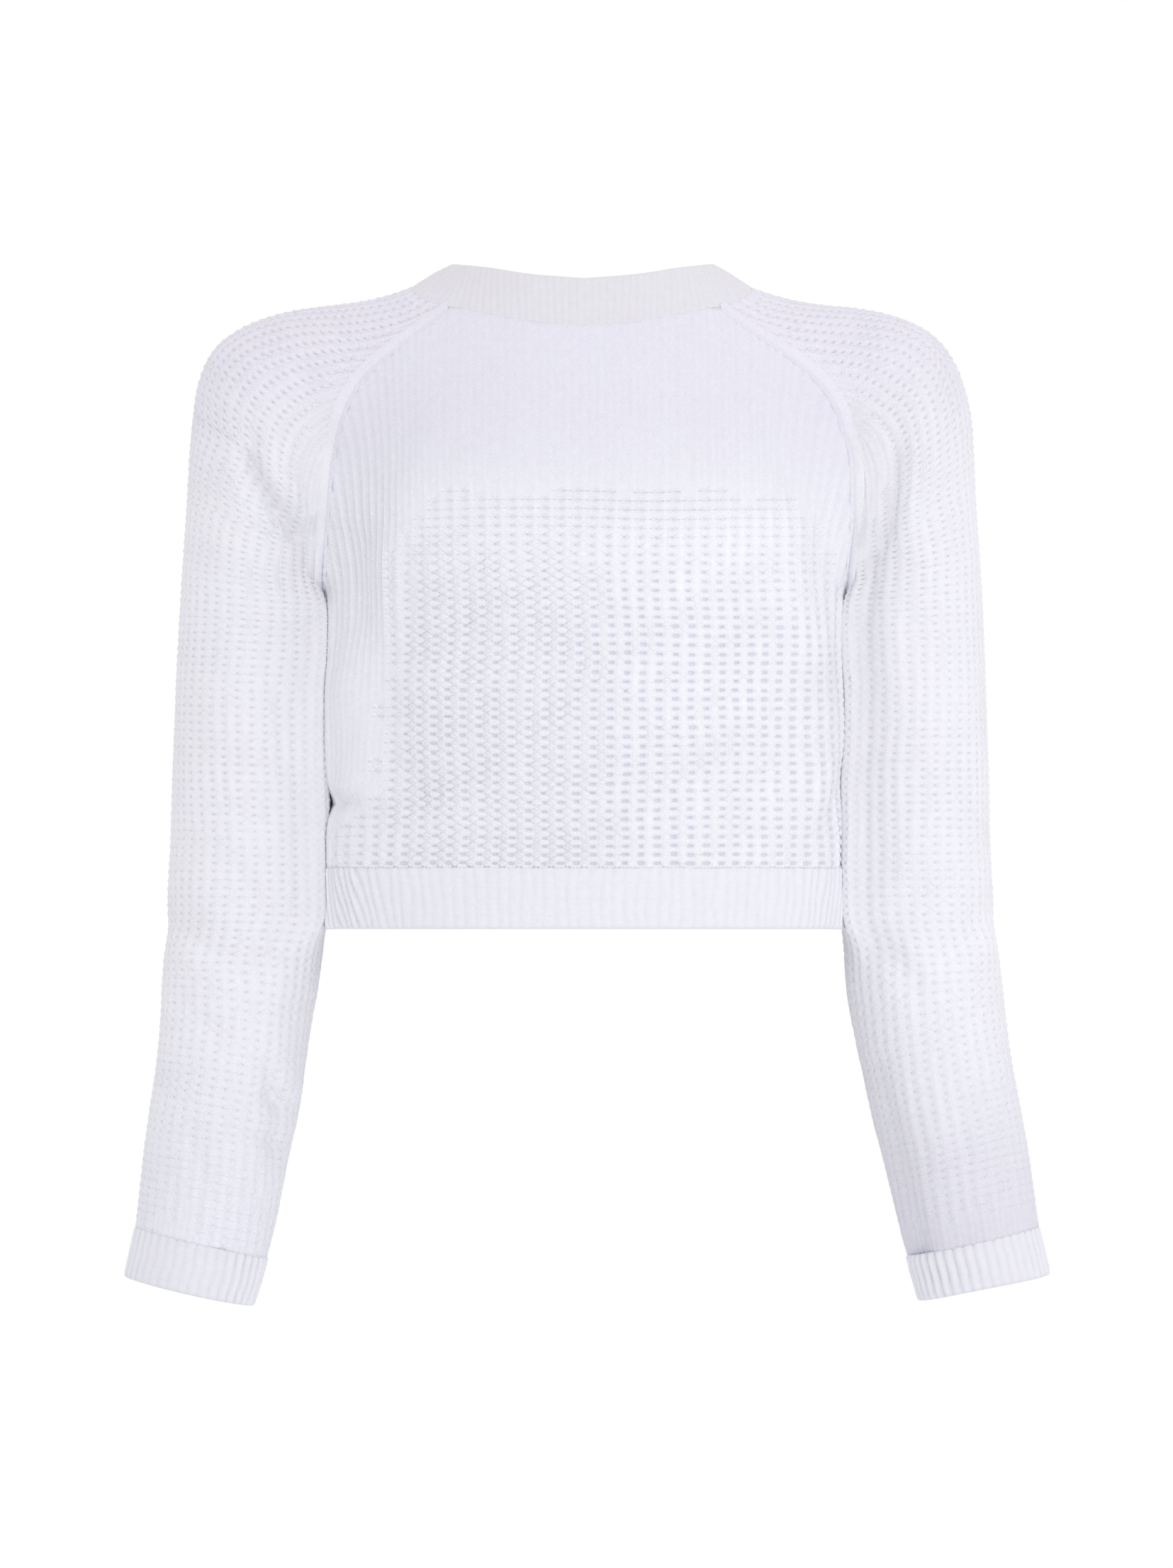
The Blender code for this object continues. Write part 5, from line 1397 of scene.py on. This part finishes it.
    # Bump: plies wind round the yarn, chevrons up each rib, and fine loose fibres.
    split = node("ShaderNodeSeparateXYZ")
    links.new(stitch.outputs["UV"], split.inputs["Vector"])
    across = maths("PINGPONG", split.outputs["X"], 0.5)
    lean = maths("MULTIPLY_ADD", across, 1.6)
    links.new(split.outputs["Y"], lean.node.inputs[2])
    waves = maths("SINE", maths("MULTIPLY", lean, 2 * math.pi * 3.0))
    plies = maths("MULTIPLY_ADD", waves, 0.5)
    plies.node.inputs[2].default_value = 0.5
    fibre = node("ShaderNodeTexNoise")
    fibre.inputs["Scale"].default_value = 1400.0
    fibre.inputs["Detail"].default_value = 4.0
    fibre.inputs["Roughness"].default_value = 0.7
    links.new(moved.outputs["Vector"], fibre.inputs["Vector"])
    fuzz = node("ShaderNodeTexNoise")
    fuzz.inputs["Scale"].default_value = 420.0
    fuzz.inputs["Detail"].default_value = 3.0
    links.new(moved.outputs["Vector"], fuzz.inputs["Vector"])
    bump = node("ShaderNodeBump")
    bump.inputs["Strength"].default_value = 0.35 * ply
    bump.inputs["Distance"].default_value = 0.0006
    links.new(plies, bump.inputs["Height"])
    bump2 = node("ShaderNodeBump")
    bump2.inputs["Strength"].default_value = 0.45
    bump2.inputs["Distance"].default_value = 0.0007
    links.new(fuzz.outputs["Fac"], bump2.inputs["Height"])
    links.new(bump.outputs["Normal"], bump2.inputs["Normal"])
    bump3 = node("ShaderNodeBump")
    bump3.inputs["Strength"].default_value = 0.5
    bump3.inputs["Distance"].default_value = 0.0003
    links.new(fibre.outputs["Fac"], bump3.inputs["Height"])
    links.new(bump2.outputs["Normal"], bump3.inputs["Normal"])
    links.new(bump3.outputs["Normal"], shader.inputs["Normal"])
    return material


# ---------------------------------------------------------------- how the knit varies
def panel_field(front):
    """Openness, dips, eyelet sizes and fine ribs over a body panel: closed over the chest and down
    the sides, eyelets below."""
    rough = Noise(41 if front else 42, 0.034)
    soft = Noise(43 if front else 44, 0.11)

    def spot(x, z, x0, z0, wide, tall):
        return np.exp(-(((x - x0) / wide) ** 2) - (((z - z0) / tall) ** 2))

    def field(p, n, s, v):
        x, z = p[:, 0], p[:, 2]
        edge = -0.1075 + 0.0018 * rough(x, z) - 0.004 * step(0.06, 0.12, np.abs(x))
        opened = 1 - step(edge - 0.034, edge + 0.026, z)
        if front:
            at = [-0.32, -0.30, -0.27, -0.235, -0.20, -0.15, -0.10]
            left = np.interp(z, at, [-0.146, -0.136, -0.122, -0.116, -0.114, -0.110, -0.100])
            right = np.interp(z, [-0.30, -0.24, -0.19, -0.10], [0.172, 0.164, 0.152, 0.136])
        else:
            left = np.interp(z, [-0.30, -0.24, -0.20, -0.10], [-0.165, -0.145, -0.130, -0.118])
            right = -left
        left, right = left + 0.0035 * rough(x, z), right + 0.0035 * rough(x + 3, z)
        side = step(-0.010, 0.022, x - left) * step(-0.010, 0.022, right - x)
        opened = opened * side
        # Dents on the ribs, halfway between the eyelets: almost as large on the left.
        dips = 0.34 + 0.10 * rough(x + 1, z)
        dips = dips + (0.42 if front else 0.20) * (1 - step(-0.010, 0.030, x)) * step(-0.125, -0.100, x)
        dips = dips * (1 - 0.5 * step(-0.165, -0.115, z))
        size = 0.93 + 0.06 * soft(x, z) + 0.05 * rough(x, z)
        size = size - 0.56 * step(-0.186, -0.104, z) - 0.10 * dips
        size = size - 0.30 * (1 - step(0.0, 0.030, x - left) * step(0.0, 0.026, right - x))
        size = size + 0.16 * np.exp(-((v / 0.9) ** 2))
        ribs = 0.28 + 0.06 * soft(x + 2, z)
        if front:
            ribs = ribs + 0.25 * (1 - step(-0.115, -0.085, x))
            ribs = ribs + 1.7 * spot(x, z, -0.122, -0.138, 0.020, 0.052)
            ribs = ribs + 0.7 * spot(x, z, 0.140, -0.185, 0.020, 0.085)
        else:
            ribs = ribs + 1.2 * spot(np.abs(x), z, 0.135, -0.150, 0.026, 0.085)
        return opened, np.clip(dips, 0, 1), size, ribs

    return field


def sleeve_field(side):
    rough, soft = Noise(51 + side, 0.030), Noise(54 + side, 0.10)

    def field(p, n, s, v):
        x, z = p[:, 0] * side, p[:, 2]
        opened = step(-0.560, -0.430, z + 0.010 * soft(x, z))
        # The knit stays closed in a puckered strip next to the raglan seam.
        gap = 0.0145 + 0.020 * np.exp(-(((z + 0.085) / 0.040) ** 2))
        gap = gap * step(-0.165, -0.140, z)
        away = np.minimum(s - field.low(v), field.high(v) - s)
        opened = opened * np.where(gap > 0.0005, step(0.6 * gap, gap + 1e-5, away), 1.0)
        cap = step(-0.085, -0.040, z)
        opened = opened * (0.62 + 0.38 * np.maximum(cap, step(-0.9, 0.6, rough(x, z) + 0.4)))
        dips = 0.42 + 0.12 * rough(x + 1, z) + 0.10 * cap
        size = 0.82 + 0.08 * soft(x, z) + 0.06 * rough(x, z) + 0.14 * cap
        size = size - 0.38 * (1 - step(-0.50, -0.36, z))
        ribs = 0.75 + 0.15 * soft(x + 2, z)
        return opened, np.clip(dips, 0, 1), size, ribs

    return field


# ---------------------------------------------------------------- the pieces
collection = bpy.data.collections.new("cropped_knit_sweater_looks")
bpy.context.scene.collection.children.link(collection)


def piece_from(shell, name, node, material, flat, area=None):
    thing = bpy.data.objects.new(name, shell.mesh(name))
    collection.objects.link(thing)
    thing.data.materials.append(material)
    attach(thing, "root")
    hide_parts(node)
    faces = len(thing.data.polygons)
    print(f"{name}: {faces} triangles, flat {flat[0]:.3f} x {flat[1]:.3f}, area {area or flat[0] * flat[1]:.4f}")
    return faces


# All pieces are of one yarn, and painted shade is laid into their colours: the sleeves, the neckband, the hem
# ribs and the cuffs get darker, greyer base colours than the body for the shade on them; the greyer colours of
# the valleys are painted shade in the knit's hollows, the chest colour is painted shade high on the body panels,
# and the colours for the bottom are painted shade towards the lower ends of the sleeves.
BODY_TINT, BODY_VALLEY_SHADE = (0.902, 0.906, 0.953), (0.748, 0.748, 0.830)
SLEEVE_TINT_AND_SHADE, SLEEVE_VALLEY_SHADE = (0.894, 0.891, 0.938), (0.766, 0.760, 0.836)
NECK_TINT_AND_SHADE, NECK_VALLEY_SHADE = (0.828, 0.830, 0.846), (0.718, 0.714, 0.748)
RIB_TINT_AND_SHADE, RIB_VALLEY_SHADE = (0.850, 0.850, 0.905), (0.715, 0.708, 0.790)
CUFF_TINT_AND_SHADE, CUFF_VALLEY_SHADE = (0.812, 0.812, 0.872), (0.690, 0.682, 0.765)
CHEST_SHADE = (0.896, 0.886, 0.922)
LOW_SHADE = {-1: (0.945, 0.955, 0.975), 1: (0.860, 0.858, 0.900)}

faces = 0
cloths = {}
for name, front in (("front_panel", True), ("back_panel", False)):
    cloth = cloths[name] = panel_cloth(name, front)
    shell = Shell()
    knit(shell, cloth, 0.0092, 65, panel_field(front), 101 if front else 202, deep=1.3, spread=0.6)
    # A narrow selvedge rib along both raglan seams, with a notch at each row.
    for low_side in (True, False):
        seam = SEAMS[-1 if low_side else 1, front][0]
        start, end = seam[3, 2], seam[-1, 2]
        rows = (np.linspace(start, end - 0.0005, 70) - cloth.zs[0]) / 0.004
        p, n, side = seam_frame(cloth, rows, low_side)
        ridge(shell, p, n, side, 1.1, 1.8, 0.62, 5.2, 0.60, 300 + low_side, base_mm=-0.25)
    low, high = cloth.edges(np.arange(cloth.count, dtype=float))
    widths = np.where(cloth.zs < cloth.zs[0] + cloth.neck[1].max() * 0.004, high - low, 0)
    area = widths.sum() * 0.004
    over = np.interp(np.linspace(cloth.neck[0][0], cloth.neck[0][-1], 50), *cloth.neck)
    top = (over.max() - over) * 0.004
    area = float(area - top.mean() * (cloth.neck[0][-1] - cloth.neck[0][0]))
    flat = (float((high - low).max()), float(cloth.rise[int(cloth.neck[1].max())]))
    faces += piece_from(
        shell, f"{name}_knit", name,
        knit_material(
            f"{name}_yarn", BODY_TINT, BODY_VALLEY_SHADE, seed=0.3 if front else 0.8, top=CHEST_SHADE,
            levels=(-0.145, -0.055),
        ),
        flat, area,
    )  # fmt: skip

for name, side in (("sleeve_left", -1), ("sleeve_right", 1)):
    cloth = sleeve_cloth(name, side, cloths["front_panel"])
    cloth.front = None
    cloths[name] = cloth
    shell = Shell()
    rows = int(round(cloth.rise[-1] / 0.0047))
    field = sleeve_field(side)
    up = cloth.rise / cloth.rise[-1] * rows
    field.low = lambda v, up=up, cloth=cloth: np.interp(v, up, cloth.low)
    field.high = lambda v, up=up, cloth=cloth: np.interp(v, up, cloth.high)
    knit(shell, cloth, 0.0082, rows, field, 400 + side, deep=1.2, two_step=False, relief=0.72)
    # A smooth flat selvedge band along both raglan seams.
    for low_side in (True, False):
        r = np.linspace(cloth.first_cap + 2, cloth.count - 1.3, 90)
        p, n, way = seam_frame(cloth, r, low_side)
        ridge(shell, p, n, way, 2.9, 3.8, 0.66, 4.7, 0.08, 420 + side + low_side, base_mm=-0.25)
    low, high = cloth.edges(np.arange(cloth.count, dtype=float))
    area = float(((high - low)[:-1] * np.diff(cloth.rise)).sum())
    faces += piece_from(
        shell, f"{name}_knit", name,
        knit_material(f"{name}_yarn", SLEEVE_TINT_AND_SHADE, SLEEVE_VALLEY_SHADE, seed=1.3 + side, low=LOW_SHADE[side]),
        (float((high - low).max()), float(cloth.rise[-1])),
        area,
    )  # fmt: skip

# Hem ribs
for name, front in (("hem_rib_front", True), ("hem_rib_back", False)):
    sign = 1 if front else -1
    zs = np.linspace(HEM_Z, HEM_Z + HEM_RIB_HEIGHT, 9)
    turn = np.radians(np.linspace(-90, 90, 181))
    way = np.stack([np.sin(turn), -sign * np.cos(turn), 0 * turn], axis=1)
    base = np.empty((len(zs), len(turn), 3))
    for k, z in enumerate(zs):
        base[k] = cast(np.tile([0.0, 0.0, z], (len(turn), 1)), way, "torso")
    length = runs(base[4])[-1]
    normal = unit(np.cross(np.gradient(base, axis=1), np.gradient(base, axis=0)))
    normal *= np.sign((normal * way).sum(axis=2, keepdims=True))
    proud = np.interp(np.linspace(0, 1, 9), [0, 0.15, 0.6, 1], [0.0009, 0.0013, 0.0009, 0.0001])
    base = base + normal * proud[:, None, None]
    sway = Noise(61 if front else 62, 0.5)
    shell = Shell()
    ribs = int(round(length / 0.0064))
    band(
        shell, base, normal, band_profile(26, 7, 3.4, HEM_RIB_HEIGHT * 1e3, "top", 0.6), ribs,
        lambda t: 0.24 + 0.90 * np.exp(-(((t - 0.07) / 0.11) ** 2)) + 0.50 * np.exp(-(((t - 0.95) / 0.12) ** 2)),
        11, 60 + sign, False,
        warp=lambda s, t, sway=sway: (
            0.12 * sway(s * 9, t * 0.4) + 2.6 * (t - 0.5) * np.exp(-(((s - 0.13) / 0.07) ** 2))
            - 1.2 * (t - 0.5) * np.exp(-(((s - 0.90) / 0.07) ** 2))
        ),
    )  # fmt: skip
    faces += piece_from(
        shell, f"{name}_knit", name,
        knit_material(f"{name}_yarn", RIB_TINT_AND_SHADE, RIB_VALLEY_SHADE, ply=0.7, seed=2.1 + sign),
        (float(length), HEM_RIB_HEIGHT),
    )  # fmt: skip

# Cuffs: their ribs stand out on the inner side and are almost flat in front
def cuff_relief(t, side):
    inner = np.exp(-(((t - 0.06) / (0.10 if side < 0 else 0.16)) ** 2))
    inner = inner + np.exp(-(((t - 1.0) / 0.10) ** 2))
    return 0.30 + 0.95 * inner + 0.40 * np.exp(-(((t - 0.46) / 0.07) ** 2))


for name, side in (("cuff_left", -1), ("cuff_right", 1)):
    bottom = along_arm(side, -0.5510)
    ring, way = arm_ring(side, np.linspace(bottom, bottom + CUFF_LENGTH, 9), 145)
    normal = unit(np.cross(np.gradient(ring, axis=1), np.gradient(ring, axis=0)))
    normal *= np.sign((normal * way).sum(axis=2, keepdims=True))
    both = unit(normal[:, 0] + normal[:, -1])
    normal[:, 0] = normal[:, -1] = both
    proud = np.interp(np.linspace(0, 1, 9), [0, 0.15, 0.6, 1], [0.0009, 0.0013, 0.0009, 0.0001])
    ring = ring + normal * proud[:, None, None]
    length = runs(ring[4])[-1]
    sway = Noise(71 + side, 0.5)
    shell = Shell()
    band(
        shell, ring, normal, band_profile(22, 6, 3.2, CUFF_LENGTH * 1e3, "top"),
        int(round(length / 0.0062)),
        lambda t, side=side: cuff_relief(t, side), 9,
        70 + side, True, warp=lambda s, t, sway=sway: 0.10 * sway(3, t * 0.5),
    )  # fmt: skip
    faces += piece_from(
        shell, f"{name}_knit", name,
        knit_material(f"{name}_yarn", CUFF_TINT_AND_SHADE, CUFF_VALLEY_SHADE, ply=0.7, seed=3.1 + side),
        (float(length), CUFF_LENGTH),
    )  # fmt: skip

# Neckband
angle = np.linspace(-180, 180, 361)
seam = neck_seam(angle)
half = np.abs(angle)
top = np.stack([read(NECK, "angle", c, half) for c in ("top_x", "top_y", "top_z")], axis=1)
top[:, 0] *= np.sign(angle)
around = np.gradient(seam, axis=0)
around[[0, -1]] = 0.5 * (around[0] + around[-1])
rise = unit(top - seam)
flatways = unit(np.cross(around, rise))
flatways *= np.sign((flatways * (seam * [1, 1, 0])).sum(axis=1, keepdims=True))
levels = np.linspace(0, 1, 11)
base = np.stack(
    [
        seam * (1 - t) + top * t + flatways * 0.0008 * math.sin(math.pi * t) + rise * 0.00015 * (1 - t)
        for t in levels
    ]
)
h = 2e-4
gaps = [form_gap(seam + np.eye(3)[k] * h) - form_gap(seam - np.eye(3)[k] * h) for k in range(3)]
body_way = unit(np.stack(gaps, axis=1))
ways = np.stack([unit(body_way * (1 - t) + flatways * t) for t in levels])
shell = Shell()
length = float(runs(base[5])[-1])
ribs = int(round(runs(base[0])[-1] / 0.0048))
band(shell, base, ways, band_profile(18, 7, 3.6, 27.0, "low", 2.4), ribs, 0.12, 8, 80, True, per_rib=6)
height = float(np.linalg.norm(top - seam, axis=1).mean())
faces += piece_from(
    shell, "neckband_knit", "neckband",
    knit_material("neckband_yarn", NECK_TINT_AND_SHADE, NECK_VALLEY_SHADE, ply=0.6, seed=4.4),
    (length, height),
)  # fmt: skip
print("triangles in all", faces)

# ---------------------------------------------------------------- camera, light and floor
scene = bpy.context.scene
lens = bpy.data.cameras.new("camera")
camera = bpy.data.objects.new("camera", lens)
scene.collection.objects.link(camera)
DISTANCE = 3.0
lens.sensor_width = 36.0
lens.lens = 36.0 * DISTANCE / 0.8848
lens.clip_end = 50.0
camera.location = (0.0014, -DISTANCE, -0.2664)
camera.rotation_euler = (math.radians(90), 0, 0)
scene.camera = camera


def soft_light(name, place, aim, size, power, colour=(1, 1, 1)):
    data = bpy.data.lights.new(name, "AREA")
    data.shape = "RECTANGLE"
    data.size, data.size_y = size
    data.energy = power
    data.color = colour
    thing = bpy.data.objects.new(name, data)
    thing.location = place
    thing.rotation_euler = (Vector(aim) - Vector(place)).to_track_quat("-Z", "Y").to_euler()
    scene.collection.objects.link(thing)
    return thing


world = bpy.data.worlds.new("studio")
world.use_nodes = True
world.node_tree.nodes["Background"].inputs["Color"].default_value = (1, 1, 1, 1)
world.node_tree.nodes["Background"].inputs["Strength"].default_value = 1.0
scene.world = world
soft_light("front_soft", (0.70, -2.5, 0.15), (0.0, 0.0, -0.22), (1.6, 1.2), 8.2, (1.0, 1.0, 1.0))
soft_light("right_soft", (2.2, -1.7, 0.10), (0.1, 0.0, -0.20), (1.2, 1.2), 5.0, (1.0, 1.0, 1.0))
scene.view_settings.view_transform = "Standard"

floor_mesh = bpy.data.meshes.new("studio_floor")
floor_mesh.from_pydata([(-4, -4, -1.42), (4, -4, -1.42), (4, 4, -1.42), (-4, 4, -1.42)], [], [(0, 1, 2, 3)])
floor = bpy.data.objects.new("studio_floor", floor_mesh)
scene.collection.objects.link(floor)
paint = bpy.data.materials.new("floor_paint")
paint.use_nodes = True
paint.node_tree.nodes["Principled BSDF"].inputs["Base Color"].default_value = (0.86, 0.86, 0.86, 1)
paint.node_tree.nodes["Principled BSDF"].inputs["Roughness"].default_value = 0.9
floor_mesh.materials.append(paint)
